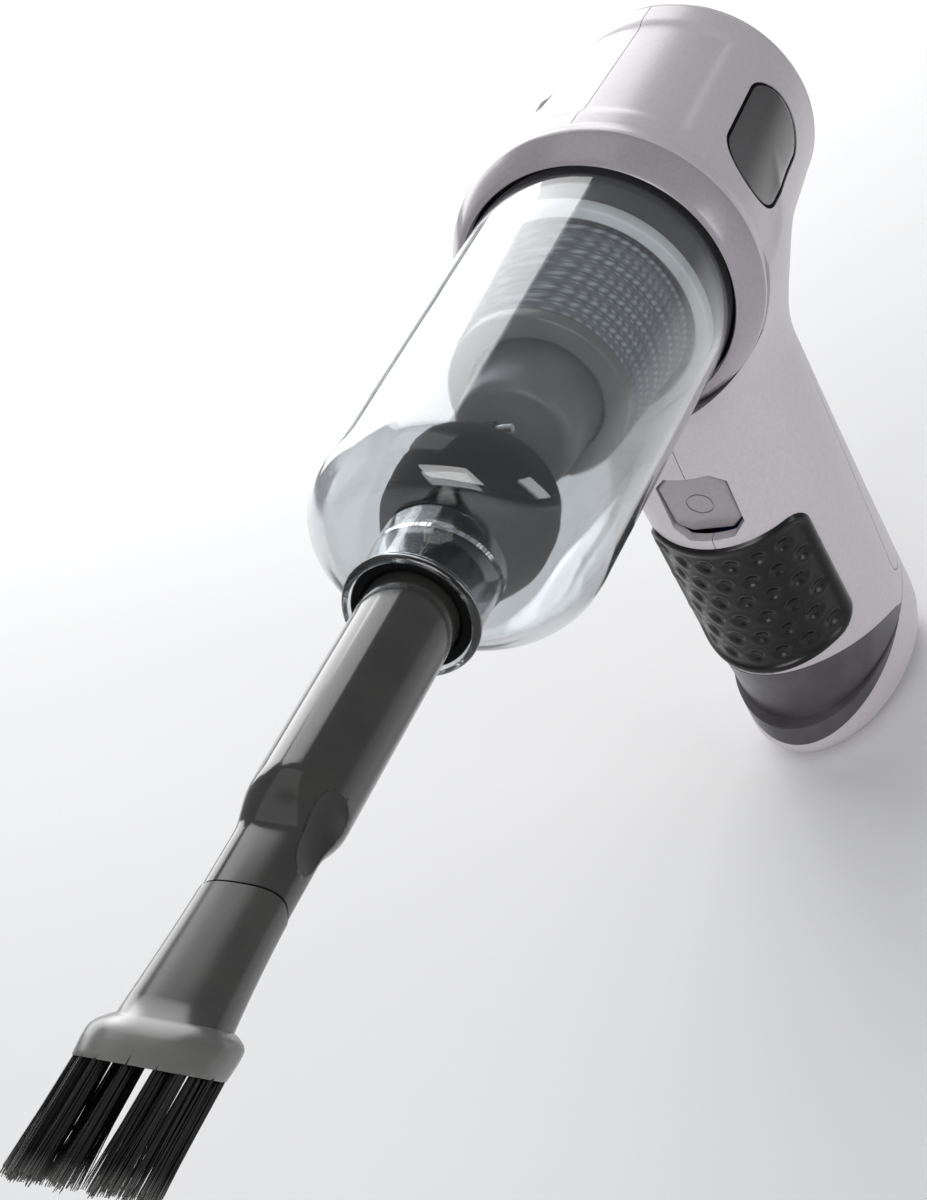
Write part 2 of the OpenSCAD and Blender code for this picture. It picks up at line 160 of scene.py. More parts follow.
def grain(tree, shader, size_mm, depth_mm, strength=1.0):
    """A fine bump of that size and depth, such as the texture of a moulding tool."""
    place = add(tree, "ShaderNodeTexCoord").outputs["Object"]
    noise = add(tree, "ShaderNodeTexNoise", {"Scale": per_metre(size_mm), "Detail": 3.0}, Vector=place)
    bump = add(tree, "ShaderNodeBump", {"Strength": strength, "Distance": depth_mm * MM},
               Height=noise.outputs["Fac"])
    tree.links.new(bump.outputs["Normal"], shader.inputs["Normal"])
    return place


def tone(tree, shader, place, size_mm, dark, light, socket="Base Color", detail=2.0):
    """Slow variation between two values over size_mm."""
    noise = add(tree, "ShaderNodeTexNoise", {"Scale": per_metre(size_mm), "Detail": detail}, Vector=place)
    ramp = add(tree, "ShaderNodeValToRGB", Fac=noise.outputs["Fac"])
    ends = ramp.color_ramp.elements
    ends[0].position, ends[1].position = 0.3, 0.7
    ends[0].color, ends[1].color = dark, light
    tree.links.new(ramp.outputs["Color"], shader.inputs[socket])


def grey(value):
    return (value, value, value, 1.0)


def pearl_lacquer():
    # ABS with a pearl lacquer, sprayed over a polished moulding: soft wide highlights with a faint flake
    mat, tree, shader = finish_of("pearl lacquered ABS", "#c4bec3", 0.36, Metallic=0.12, IOR=1.5,
                                  Coat_Weight=0.15, Coat_Roughness=0.2)
    place = grain(tree, shader, 1.6, 0.006, 0.25)
    tone(tree, shader, place, 0.9, linear("#c6c0c5"), linear("#cdc8cc"), detail=4.0)
    return mat


def smoked_lacquer_and_shade():
    # the collar's darker pearl lacquer: reads as a grey ring round the clear cup; on the collar's dished face it
    # is also painted shade of that face, and on the power button it is painted shade of the recess
    mat, tree, shader = finish_of("smoke grey lacquered ABS and painted shade", "#8f898f", 0.28, Metallic=0.15, IOR=1.5,
                                  Coat_Weight=0.4, Coat_Roughness=0.1)
    place = grain(tree, shader, 1.6, 0.006, 0.25)
    tone(tree, shader, place, 0.9, linear("#9a949a"), linear("#a19ba1"), detail=4.0)
    return mat


def clear_polycarbonate():
    # injection-moulded polycarbonate, polished: clear, with a trace of handling marks in the gloss
    mat, tree, shader = finish_of("clear polycarbonate", "#e3e6e8", 0.03, IOR=1.585,
                                  Transmission_Weight=1.0)
    place = add(tree, "ShaderNodeTexCoord").outputs["Object"]
    tone(tree, shader, place, 14, grey(0.02), grey(0.07), "Roughness")
    # light on its way to a lamp goes straight through, so the parts inside are lit as by a clear cup
    through = add(tree, "ShaderNodeBsdfTransparent", {"Color": linear("#eff1f2")})
    pick = add(tree, "ShaderNodeMixShader", Fac=add(tree, "ShaderNodeLightPath").outputs["Is Shadow Ray"])
    tree.links.new(shader.outputs["BSDF"], pick.inputs[1])
    tree.links.new(through.outputs["BSDF"], pick.inputs[2])
    tree.links.new(pick.outputs["Shader"], tree.nodes["Material Output"].inputs["Surface"])
    return mat


def smoked_window():
    # smoked acrylic, polished: dark, and lighter towards its front end
    mat, tree, shader = finish_of("smoked acrylic", "#3a3a3b", 0.12, IOR=1.49, Coat_Weight=0.5,
                                  Coat_Roughness=0.03)
    place = add(tree, "ShaderNodeTexCoord").outputs["Object"]
    station = add(tree, "ShaderNodeSeparateXYZ", Vector=place).outputs["X"]
    span = add(tree, "ShaderNodeMapRange", {"From Min": (WINDOW_X - WINDOW_LEN / 2) * MM,
                                            "From Max": (WINDOW_X + WINDOW_LEN / 2) * MM}, Value=station)
    ramp = add(tree, "ShaderNodeValToRGB", Fac=span.outputs["Result"])
    ramp.color_ramp.elements[0].color = linear("#0f0f10")
    ramp.color_ramp.elements[1].color = linear("#454445")
    tree.links.new(ramp.outputs["Color"], shader.inputs["Base Color"])
    return mat


def moulded(name, dark, light, roughness, size_mm=0.8, depth_mm=0.02, **sockets):
    """A moulded plastic or rubber with the fine texture of its tool and a little unevenness."""
    mat, tree, shader = finish_of(name, light, roughness, **sockets)
    place = grain(tree, shader, size_mm, depth_mm, 0.5)
    tone(tree, shader, place, 9, linear(dark), linear(light))
    return mat


def steel(name, base, roughness, size_mm=0.5):
    """Turned or rolled metal with rings of fine marks round the barrel's axis."""
    mat, tree, shader = finish_of(name, base, roughness, Metallic=1.0)
    place = add(tree, "ShaderNodeTexCoord").outputs["Object"]
    stretched = add(tree, "ShaderNodeMapping", {"Scale": (per_metre(size_mm), per_metre(12), per_metre(12))},
                    Vector=place)
    noise = add(tree, "ShaderNodeTexNoise", {"Scale": 1.0, "Detail": 2.0}, Vector=stretched.outputs["Vector"])
    spread = add(tree, "ShaderNodeMapRange", {"To Min": roughness * 0.7, "To Max": roughness * 1.4},
                 Value=noise.outputs["Fac"])
    tree.links.new(spread.outputs["Result"], shader.inputs["Roughness"])
    return mat


WAVES = 3.15  # how often a wave texture repeats in one unit


def woven(name, dark, light, thread_mm):
    """A mesh or fibrous paper: two crossed waves, each one thread and one gap of thread_mm."""
    mat, tree, shader = finish_of(name, light, 0.8, IOR=1.5)
    place = add(tree, "ShaderNodeTexCoord").outputs["Object"]
    heights = []
    for direction in ("X", "Z"):
        wave = add(tree, "ShaderNodeTexWave",
                   {"bands_direction": direction, "Scale": per_metre(2 * thread_mm) / WAVES}, Vector=place)
        heights.append(wave.outputs["Fac"])
    both = add(tree, "ShaderNodeMath", {"operation": "MULTIPLY"})
    tree.links.new(heights[0], both.inputs[0])
    tree.links.new(heights[1], both.inputs[1])
    ramp = add(tree, "ShaderNodeValToRGB", Fac=both.outputs["Value"])
    ramp.color_ramp.elements[0].color = linear(dark)
    ramp.color_ramp.elements[1].color = linear(light)
    tree.links.new(ramp.outputs["Color"], shader.inputs["Base Color"])
    bump = add(tree, "ShaderNodeBump", {"Strength": 0.6, "Distance": 0.1 * MM}, Height=both.outputs["Value"])
    tree.links.new(bump.outputs["Normal"], shader.inputs["Normal"])
    return mat


def nylon_bristle():
    # drawn black nylon, cut at the tips: the tips are scuffed grey
    mat, tree, shader = finish_of("black nylon fibre", "#101010", 0.38, IOR=1.53)
    along = add(tree, "ShaderNodeAttribute", {"attribute_name": "along"}).outputs["Fac"]
    ramp = add(tree, "ShaderNodeValToRGB", Fac=along)
    ramp.color_ramp.elements[0].position = 0.82
    ramp.color_ramp.elements[0].color = linear("#121111")
    ramp.color_ramp.elements[1].color = linear("#6b6a68")
    tree.links.new(ramp.outputs["Color"], shader.inputs["Base Color"])
    return mat


LOOKS = {
    "housing_plastic": pearl_lacquer(),
    "collar_plastic": smoked_lacquer_and_shade(),
    "clear_plastic": clear_polycarbonate(),
    "smoked_plastic": smoked_window(),
    # thermoplastic rubber overmould, polished: black with sharp highlights
    "pad_rubber": moulded("glossy black rubber", "#040404", "#0b0a0a", 0.24, 1.2, 0.02, IOR=1.45),
    # moulded silicone rubber: black, softly shiny
    "black_rubber": moulded("black silicone rubber", "#020202", "#060607", 0.7, 1.0, 0.02, IOR=1.41,
                             Specular_IOR_Level=0.12),
    # satin ABS, moulded: mid grey with a clear sheen
    "grey_plastic": moulded("satin grey ABS", "#5c5d5a", "#676865", 0.24, 0.8, 0.006, IOR=1.5),
    # glass-filled nylon: dark grey and dull
    "dark_plastic": moulded("dark grey nylon", "#2b2b2d", "#3a3a3c", 0.45, 0.6, 0.03, IOR=1.53),
    # unpainted white ABS, moulded: plain and satin
    "white_plastic": moulded("white ABS", "#d4d4d1", "#e2e2df", 0.4, 0.8, 0.01, IOR=1.5),
    # pressed glass-fibre paper: off-white and dull; its fibres are drawn coarse enough to show
    "filter_paper": woven("filter paper", "#b9bab8", "#dcdcd9", 1.6),
    # open-cell polyurethane foam: dull, with coarse pores
    "foam": moulded("open-cell foam", "#2a2a2c", "#4a4a4d", 0.95, 1.5, 0.5),
    "bristle_fibre": nylon_bristle(),
    # zinc plate on turned steel: bright grey, softly mirrored
    "steel": steel("zinc-plated steel", "#b4b4b6", 0.3),
    # punched and stacked sheet steel: dark grey with fine rings
    "laminate_steel": steel("stacked steel laminations", "#55555a", 0.4, 0.5),
    # wound wire under enamel: warm brown, with the turns as rings
    "copper": steel("enamelled copper wire", "#b87048", 0.35, 0.4),
    # solder mask over a glass-fibre board: green and glossy
    "circuit_board": moulded("green solder mask", "#0c3a20", "#125030", 0.35, 2.0, 0.02, IOR=1.5),
    # shrunk vinyl sleeve: blue and glossy
    "cell_sleeve": moulded("blue shrink sleeve", "#27547f", "#2f6596", 0.3, 3.0, 0.02, IOR=1.5),
}
# moulded ABS, dark warm grey, satin, laid in the finger scoop and on the front of the end cap: painted shade of
# the scoop's hollow
SCOOP_SHADE_LOOK = moulded("dark grey ABS painted scoop shade", "#403d40", "#565357", 0.3, 0.9, 0.01, IOR=1.5)
# ABS from a polished tool: near black, with a clear long highlight; the sleeve is a little lighter
NOZZLE_LOOK = moulded("dark satin grey ABS", "#2c2b2a", "#343331", 0.13, 0.9, 0.003, IOR=1.54)
SLEEVE_LOOK = moulded("satin grey ABS sleeve", "#343332", "#3d3c3a", 0.2, 0.9, 0.004, IOR=1.54)
# ABS from an etched tool, black and dull, on the cut faces of the thumb rest: painted shade of its hollow
THUMB_SHADE_LOOK = moulded("black textured ABS painted thumb shade", "#151414", "#1f1e1e", 0.45, 0.6, 0.03, IOR=1.5)
# woven steel wire: light grey, its wires drawn coarser than real ones so that they show
MESH_LOOK = woven("steel filter mesh", "#5c5f64", "#a4a8ad", 0.8)
# glass-filled nylon, moulded: mid grey and dull
KNOB_LOOK = moulded("grey glass-filled nylon", "#58585b", "#666669", 0.4, 0.6, 0.02, IOR=1.53)
# moulded ABS: a white band seen through the cup
HAZE_LOOK = moulded("white filter flange", "#c9cbcb", "#dcdedd", 0.35, 1.2, 0.01, IOR=1.5)


# ---------- mesh helpers ----------

# turns a bar that runs along Z so that it runs along X
ALONG_X = Matrix(((0, 0, 1, 0), (1, 0, 0, 0), (0, 1, 0, 0), (0, 0, 0, 1)))


def solid(name, bm):
    """A scene object from a bmesh, which it frees."""
    mesh = bpy.data.meshes.new(name)
    bm.to_mesh(mesh)
    bm.free()
    obj = bpy.data.objects.new(name, mesh)
    bpy.context.scene.collection.objects.link(obj)
    return obj


def settle(obj):
    """Turns the modifiers of obj into its own mesh."""
    bpy.context.view_layer.update()
    shown = obj.evaluated_get(bpy.context.evaluated_depsgraph_get())
    mesh = bpy.data.meshes.new_from_object(shown)
    obj.modifiers.clear()
    obj.data = mesh
    return obj


def combine(obj, other, operation="DIFFERENCE"):
    """Cuts obj with other, or keeps what they share, and removes other."""
    step = obj.modifiers.new("cut", "BOOLEAN")
    step.operation = operation
    step.solver = "EXACT"
    step.object = other
    settle(obj)
    bpy.data.objects.remove(other)
    return obj


def thicken(obj, thickness):
    """Gives a sheet its wall, inwards from its face."""
    step = obj.modifiers.new("wall", "SOLIDIFY")
    step.thickness = thickness
    step.offset = -1
    step.use_even_offset = True
    return settle(obj)


def soften(obj, width, angle=40, segments=2):
    """Rounds the edges that are sharper than angle."""
    step = obj.modifiers.new("edge", "BEVEL")
    step.width = width
    step.segments = segments
    step.limit_method = "ANGLE"
    step.angle_limit = math.radians(angle)
    return settle(obj)


def hand_in(obj, name, body, slot, nodes=(), look=None, sharp=38):
    """The finished piece: in metres, smooth where it should be, with its look, on its body."""
    obj.name = name
    obj.data.name = name
    obj.data.transform(Matrix.Scale(MM, 4))
    obj.data.shade_smooth()
    obj.data.set_sharp_from_angle(angle=math.radians(sharp))
    obj.data.materials.clear()
    obj.data.materials.append(look or LOOKS[slot])
    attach(obj, body)
    if nodes:
        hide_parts(*nodes)
    return obj


def clean(bm):
    bmesh.ops.remove_doubles(bm, verts=bm.verts, dist=1e-3)
    bmesh.ops.recalc_face_normals(bm, faces=bm.faces)


def turned(points, segments=96, closed=True):
    """A shape turned about the barrel's axis from (radius, station) points."""
    bm = bmesh.new()
    verts = [bm.verts.new((x, 0, AXIS_Z + r)) for r, x in points]
    edges = [bm.edges.new(pair) for pair in zip(verts, verts[1:])]
    if closed:
        edges.append(bm.edges.new((verts[-1], verts[0])))
    bmesh.ops.spin(bm, geom=verts + edges, cent=(0, 0, AXIS_Z), axis=(1, 0, 0), dvec=(0, 0, 0),
                   angle=math.tau, steps=segments, use_merge=True)
    clean(bm)
    return bm


def arc(centre, radius, start, end, steps=6):
    """Points of a round corner in (radius, station), angles in degrees from +radius towards +station."""
    return [(centre[0] + radius * math.cos(math.radians(a)), centre[1] + radius * math.sin(math.radians(a)))
            for a in (start + (end - start) * i / steps for i in range(steps + 1))]


def lofted(rings, closed=False):
    """A skin through rings of points. An open one gets flat ends."""
    bm = bmesh.new()
    loops = []
    for ring in rings:
        made = bmesh.ops.create_circle(bm, segments=len(ring), radius=1)["verts"]
        for v, p in zip(made, ring):
            v.co = p
        loops.append(made)
    pairs = list(zip(loops, loops[1:])) + ([(loops[-1], loops[0])] if closed else [])
    for a, b in pairs:
        edges = [bm.edges.get((r[i], r[(i + 1) % len(r)])) for r in (a, b) for i in range(len(r))]
        bmesh.ops.bridge_loops(bm, edges=edges)
    if not closed:
        bm.faces.new(loops[0])
        bm.faces.new(loops[-1])
    bmesh.ops.recalc_face_normals(bm, faces=bm.faces)
    return bm


def prism(points, place, length):
    """A straight bar with that outline; place turns its own axes, whose Z is the bar's length."""
    bm = bmesh.new()
    made = bmesh.ops.create_circle(bm, segments=len(points), radius=1, cap_ends=True)["verts"]
    for v, (a, b) in zip(made, points):
        v.co = (a, b, 0)
    grown = bmesh.ops.extrude_face_region(bm, geom=bm.faces[:])
    far = [g for g in grown["geom"] if isinstance(g, bmesh.types.BMVert)]
    bmesh.ops.translate(bm, vec=(0, 0, length), verts=far)
    bmesh.ops.transform(bm, matrix=place, verts=bm.verts)
    bmesh.ops.recalc_face_normals(bm, faces=bm.faces)
    return bm


def rounded(half_a, half_b, radius, centre=(0, 0), steps=7):
    """Outline of a rectangle with round corners, anticlockwise."""
    points = []
    for k, (sa, sb) in enumerate(((1, 1), (-1, 1), (-1, -1), (1, -1))):
        for i in range(steps + 1):
            t = math.pi / 2 * (k + i / steps)
            points.append((centre[0] + sa * (half_a - radius) + radius * math.cos(t),
                           centre[1] + sb * (half_b - radius) + radius * math.sin(t)))
    return points


def chamfered(half_a, half_b, corner, centre=(0, 0)):
    """Outline of a rectangle with straight-cut corners, anticlockwise."""
    a, b, c = half_a, half_b, corner
    corners = [(a, -b + c), (a, b - c), (a - c, b), (-a + c, b),
               (-a, b - c), (-a, -b + c), (-a + c, -b), (a - c, -b)]
    return [(centre[0] + p, centre[1] + q) for p, q in corners]


def merged(parts):
    """Several bmeshes in one."""
    whole = bmesh.new()
    for part in parts:
        mesh = bpy.data.meshes.new("part")
        part.to_mesh(mesh)
        part.free()
        whole.from_mesh(mesh)
        bpy.data.meshes.remove(mesh)
    return whole


def clipped_grid(outline, cell):
    """A flat grid of small squares inside a convex outline."""
    a = [p[0] for p in outline]
    b = [p[1] for p in outline]
    size_a, size_b = max(a) - min(a), max(b) - min(b)
    columns, rows = max(2, round(size_a / cell)), max(2, round(size_b / cell))
    bm = bmesh.new()
    bmesh.ops.create_grid(bm, x_segments=columns, y_segments=rows, size=0.5)
    bmesh.ops.scale(bm, vec=(size_a, size_b, 1), verts=bm.verts)
    bmesh.ops.translate(bm, vec=((max(a) + min(a)) / 2, (max(b) + min(b)) / 2, 0), verts=bm.verts)
    for (ax, ay), (bx, by) in zip(outline, outline[1:] + outline[:1]):
        out = Vector((by - ay, ax - bx, 0))
        if out.length > 1e-6:
            bmesh.ops.bisect_plane(bm, geom=everything(bm), plane_co=(ax, ay, 0),
                                   plane_no=out, clear_outer=True, dist=1e-4)
    bmesh.ops.remove_doubles(bm, verts=bm.verts, dist=0.02)
    return bm


def everything(bm):
    return bm.verts[:] + bm.edges[:] + bm.faces[:]


def face_out(bm, outward):
    """Turns an open sheet's faces so that together they look outward."""
    bmesh.ops.recalc_face_normals(bm, faces=bm.faces)
    if sum((f.normal * f.calc_area() for f in bm.faces), Vector()).dot(Vector(outward)) < 0:
        bmesh.ops.reverse_faces(bm, faces=bm.faces)


def points_of(bm):
    return np.array([v.co for v in bm.verts], float)


def move_to(bm, points):
    for v, p in zip(bm.verts, points):
        v.co = p


# ---------- the housing's form ----------

def handle_axes():
    """Matrix of the handle's frame: X to its front, Z up along it."""
    return Matrix.Translation(GRIP_TOP) @ Matrix.Rotation(LEAN, 4, "Y")


def to_handle(p):
    """Points as (towards the front, across, down the handle)."""
    c, s = math.cos(LEAN), math.sin(LEAN)
    dx, dz = p[:, 0] - GRIP_TOP.x, p[:, 2] - GRIP_TOP.z
    return dx * c - dz * s, p[:, 1], -(dx * s + dz * c)


def from_handle(u, y, s):
    c, k = math.cos(LEAN), math.sin(LEAN)
    return np.stack([GRIP_TOP.x + u * c - s * k, y, GRIP_TOP.z - u * k - s * c], -1)


def grip_half(s):
    """Half depth and half width of the handle, s millimetres down it."""
    t = s / GRIP_LEN
    depth, width = [top + (foot - top) * t for top, foot in zip(GRIP_TOP_HALF, GRIP_FOOT_HALF)]
    return depth, width


def step_between(low_edge, high_edge, value):
    t = np.clip((value - low_edge) / (high_edge - low_edge), 0, 1)
    return t * t * (3 - 2 * t)


def scoop(s, cosine):
    """Depth of the finger scoop under the pad."""
    t = np.clip((s - SCOOP_START) / (SEAM - SCOOP_START), 0, 1)
    return SCOOP_DEPTH * np.sin(t * math.pi / 2) * np.maximum(0, cosine)


def handle_field(p):
    """Near distance from the handle's skin, a tapered oval with the finger scoop in it."""
    u, y, s = to_handle(p)
    a, b = grip_half(s)
    cosine = u / np.maximum(np.hypot(u, y), 1e-6)
    cut = scoop(s, cosine)
    a, b = a - cut, b - 0.3 * cut
    k0 = np.sqrt((u / a) ** 2 + (y / b) ** 2)
    k1 = np.sqrt((u / a ** 2) ** 2 + (y / b ** 2) ** 2)
    return np.maximum(k0 * (k0 - 1) / np.maximum(k1, 1e-9), -(s + GRIP_INSIDE))


def barrel_radius(x):
    return BARREL_R0 + (BARREL_R1 - BARREL_R0) * (x - BARREL_BACK) / (COLLAR_BACK - BARREL_BACK)


def barrel_field(p):
    """Distance from the barrel's skin."""
    x = p[:, 0]
    rise = BARREL_RISE * (COLLAR_BACK - x) / (COLLAR_BACK - BARREL_BACK)
    up = p[:, 2] - AXIS_Z - rise
    radius = np.hypot(p[:, 1], up)
    from_top = np.degrees(np.arctan2(np.abs(p[:, 1]), up))
    panel = 1 - step_between(*PANEL_EDGE, from_top)
    panel = panel * step_between(*PANEL_BACK, x) * (1 - step_between(*PANEL_FRONT, x))
    return radius - (barrel_radius(np.minimum(x, COLLAR_BACK)) - PANEL_INSET * panel)


def body_field(p):
    """Distance from the housing's outer skin: barrel and handle run into each other."""
    a, b = barrel_field(p), handle_field(p)
    near = np.maximum(BLEND - np.abs(a - b), 0) / BLEND
    return np.minimum(a, b) - near ** 2 * BLEND / 4


def onto(field, p, rounds=7):
    """Moves points to where the field is zero."""
    step = 0.02
    for _ in range(rounds):
        slope = np.stack([(field(p + d) - field(p - d)) / (2 * step) for d in np.eye(3) * step], -1)
        size = np.maximum((slope ** 2).sum(1), 0.2)
        p = p - (field(p) / size)[:, None] * slope
    return p


def along_ray(field, start, direction):
    """Where rays from outside first meet the field's surface."""
    reach = 60
    travelled = np.zeros(len(start))
    for _ in range(60):
        travelled += 0.7 * field(start + travelled[:, None] * direction)
        travelled = np.clip(travelled, 0, reach)
    return start + travelled[:, None] * direction


def housing_skin():
    """The outer skin of barrel and handle in one, open at its back, front and foot."""
    # a cone and a bar, longer than needed, are fused, pulled onto the field and cut to length
    bm = bmesh.new()
    front = COLLAR_FRONT + 10
    taper = math.atan2(BARREL_RISE, COLLAR_BACK - BARREL_BACK)
    back = BARREL_BACK - 8
    rise = math.tan(taper)
    bmesh.ops.create_cone(
        bm, cap_ends=True, segments=72, radius1=barrel_radius(back), radius2=BARREL_R1, depth=front - back,
        matrix=Matrix.Translation(((front + back) / 2, 0, AXIS_Z + rise * (COLLAR_BACK - (front + back) / 2)))
        @ Matrix.Rotation(math.pi / 2 + taper, 4, "Y"))
    grip = bmesh.ops.create_cone(bm, cap_ends=True, segments=72, radius1=1, radius2=1, depth=2)["verts"]
    for v in grip:
        s = 1 - GRIP_INSIDE if v.co.z > 0 else SEAM + 6
        a, b = grip_half(s)
        v.co = handle_axes() @ Vector((v.co.x * a, v.co.y * b, -s))
    obj = solid("skin", bm)
    step = obj.modifiers.new("fuse", "REMESH")
    step.mode = "VOXEL"
    step.voxel_size = 1.0
    settle(obj)
    bm = bmesh.new()
    bm.from_mesh(obj.data)
    bpy.data.objects.remove(obj)
    for _ in range(4):
        bmesh.ops.smooth_vert(bm, verts=bm.verts, factor=0.5, use_axis_x=True, use_axis_y=True,
                              use_axis_z=True)
        rim = [v for v in bm.verts if v.co.x > front - 2 or v.co.x < back + 2]
        held = [v.co.copy() for v in rim]
        move_to(bm, onto(body_field, points_of(bm), 3))
        for v, co in zip(rim, held):
            v.co = co
    down = handle_axes().to_3x3() @ Vector((0, 0, -1))
    seam = handle_axes() @ Vector((0, 0, -SEAM + SEAM_GAP))
    behind = Vector((-math.cos(taper), 0, math.sin(taper)))
    for co, no in ((seam, down), (Vector((BARREL_BACK, 0, AXIS_Z + BARREL_RISE)), behind),
                   (Vector((front - 6, 0, 0)), Vector((1, 0, 0)))):
        # the back plane would also meet the handle, lower down
        near = [v for v in bm.verts if no is not behind or v.co.z > AXIS_Z - 50]
        near += list({e for v in near for e in v.link_edges}) + list({f for v in near for f in v.link_faces})
        bmesh.ops.bisect_plane(bm, geom=near, plane_co=co, plane_no=no, clear_outer=True, dist=1e-4)
    bmesh.ops.remove_doubles(bm, verts=bm.verts, dist=0.05)
    bm.normal_update()
    return bm


def pad_across(h):
    """Arc length round the front of the handle to distance across it."""
    return PAD_BEND * math.sin(h / PAD_BEND)


PAD_OUTLINE = rounded(PAD_BEND * math.asin(PAD_HALF / PAD_BEND), (PAD_S[1] - PAD_S[0]) / 2, PAD_ROUND,
                      (0, (PAD_S[0] + PAD_S[1]) / 2))


def front_bar(outline, depth=5, length=40):
    """A bar along the handle's front with an outline in (across, down the handle)."""
    turn = Matrix(((0, 0, 1, depth), (1, 0, 0, 0), (0, -1, 0, 0), (0, 0, 0, 1)))
    return prism(outline, handle_axes() @ turn, length)


def window_axes(side):
    """Frame of a side window: X along the barrel, Z outwards."""
    turn = Matrix.Rotation(-side * (math.pi / 2 - WINDOW_TILT), 4, "X")
    return Matrix.Translation((WINDOW_X, 0, AXIS_Z)) @ turn


def window_outline(grow=0.0):
    return rounded(WINDOW_LEN / 2 + grow, WINDOW_W / 2 + grow, WINDOW_W / 2 + grow - 0.01, steps=14)


def cover_bar(grow):
    """A bar across the handle with the battery cover's outline."""
    middle, half = (COVER_S[0] + COVER_S[1]) / 2, (COVER_S[1] - COVER_S[0]) / 2
    outline = rounded(30 + grow, half + grow, 7 + grow, (COVER_U - 30, -middle))
    turn = Matrix(((1, 0, 0, 0), (0, 0, -1, 40), (0, 1, 0, 0), (0, 0, 0, 1)))
    return prism(outline, handle_axes() @ turn, 80)


def collar_space():
    """Room for the collar and cup in front of the housing."""
    radius, depth = COLLAR_R + 0.12, 40
    place = Matrix.Translation((COLLAR_BACK + depth / 2, 0, AXIS_Z)) @ Matrix.Rotation(math.pi / 2, 4, "Y")
    bm = bmesh.new()
    bmesh.ops.create_cone(bm, cap_ends=True, segments=128, radius1=radius, radius2=radius, depth=depth,
                          matrix=place)
    return bm


# (x, z) of the screw holes in the right half
SCREWS = [(20, AXIS_Z + 22.5), (20, AXIS_Z - 22.5), (36, GRIP_TOP.z + 2), (5.6, 25)]


def screw_holes():
    holes = []
    for x, z in SCREWS:
        bm = bmesh.new()
        bmesh.ops.create_cone(bm, cap_ends=True, segments=40, radius1=2.9, radius2=2.9, depth=30,
                              matrix=Matrix.Translation((x, -25, z)) @ Matrix.Rotation(math.pi / 2, 4, "X"))
        holes.append(bm)
    return holes


def housing_half(skin, side):
    """One half of the housing: side 1 is the left, -1 the right."""
    bm = skin.copy()
    bmesh.ops.bisect_plane(bm, geom=everything(bm), plane_co=(0, side * 0.09, 0),
                           plane_no=(0, -side, 0), clear_outer=True, dist=1e-4)
    obj = thicken(solid("half", bm), WALL)
    cuts = [collar_space(), front_bar([(pad_across(h), s) for h, s in PAD_OUTLINE]),
            front_bar(chamfered(BUTTON_HALF[0] + 0.35, BUTTON_HALF[1] + 0.35, 3, (0, BUTTON_S)), 10, 30),
            cover_bar(0.15), prism(window_outline(0.1), window_axes(side), 60)]
    if side < 0:
        cuts += screw_holes()
    for number, cut in enumerate(cuts):
        combine(obj, solid(f"cut{number}", cut))
    name, node = ("housing_left", "shell_left") if side > 0 else ("housing_right", "shell_right")
    return hand_in(obj, name, "housing", "housing_plastic", [node], sharp=32)


def battery_cover(skin):
    """The panel in the handle's back, with a nail notch at its foot."""
    obj = thicken(solid("cover", skin.copy()), 1.8)
    combine(obj, solid("outline", cover_bar(-0.12)), "INTERSECT")
    lip = rounded(5, 1.1, 1.05)
    lift = (handle_axes() @ Matrix.Translation((-grip_half(COVER_S[1])[0] + 1.0, 0, -COVER_S[1] + 5))
            @ Matrix.Rotation(-math.pi / 2, 4, "Y"))
    notch = prism([(q, p) for p, q in lip][::-1], lift, 4)
    combine(obj, solid("notch", notch))
    return hand_in(obj, "battery_cover_panel", "battery_cover", "housing_plastic", ["battery_cover"],
                   sharp=32)


def side_window(side):
    """A smoked window, flush with the housing, with a dark seal round it."""
    place = window_axes(side)
    inward = np.array(place.to_3x3() @ Vector((0, 0, -1)))
    for name, outline, rise, look, depth in (
            ("window_pane", window_outline(-0.75), -0.15, None, 1.6),
            ("window_seal", window_outline(0.0), -0.3, LOOKS["black_rubber"], 1.2)):
        bm = clipped_grid(outline, 1.0)
        flat = points_of(bm)
        start = np.array([place @ Vector((a, b, 45)) for a, b, _ in flat])
        move_to(bm, along_ray(lambda p: body_field(p) - rise, start, inward))
        face_out(bm, -inward)
        obj = soften(thicken(solid(name, bm), depth), 0.25, 50)
        word = "left" if side > 0 else "right"
        nodes = [f"window_{word}"] if name == "window_pane" else []
        slot = "smoked_plastic" if nodes else "black_rubber"
        hand_in(obj, f"{name}_{word}", "housing", slot, nodes, look, sharp=45)


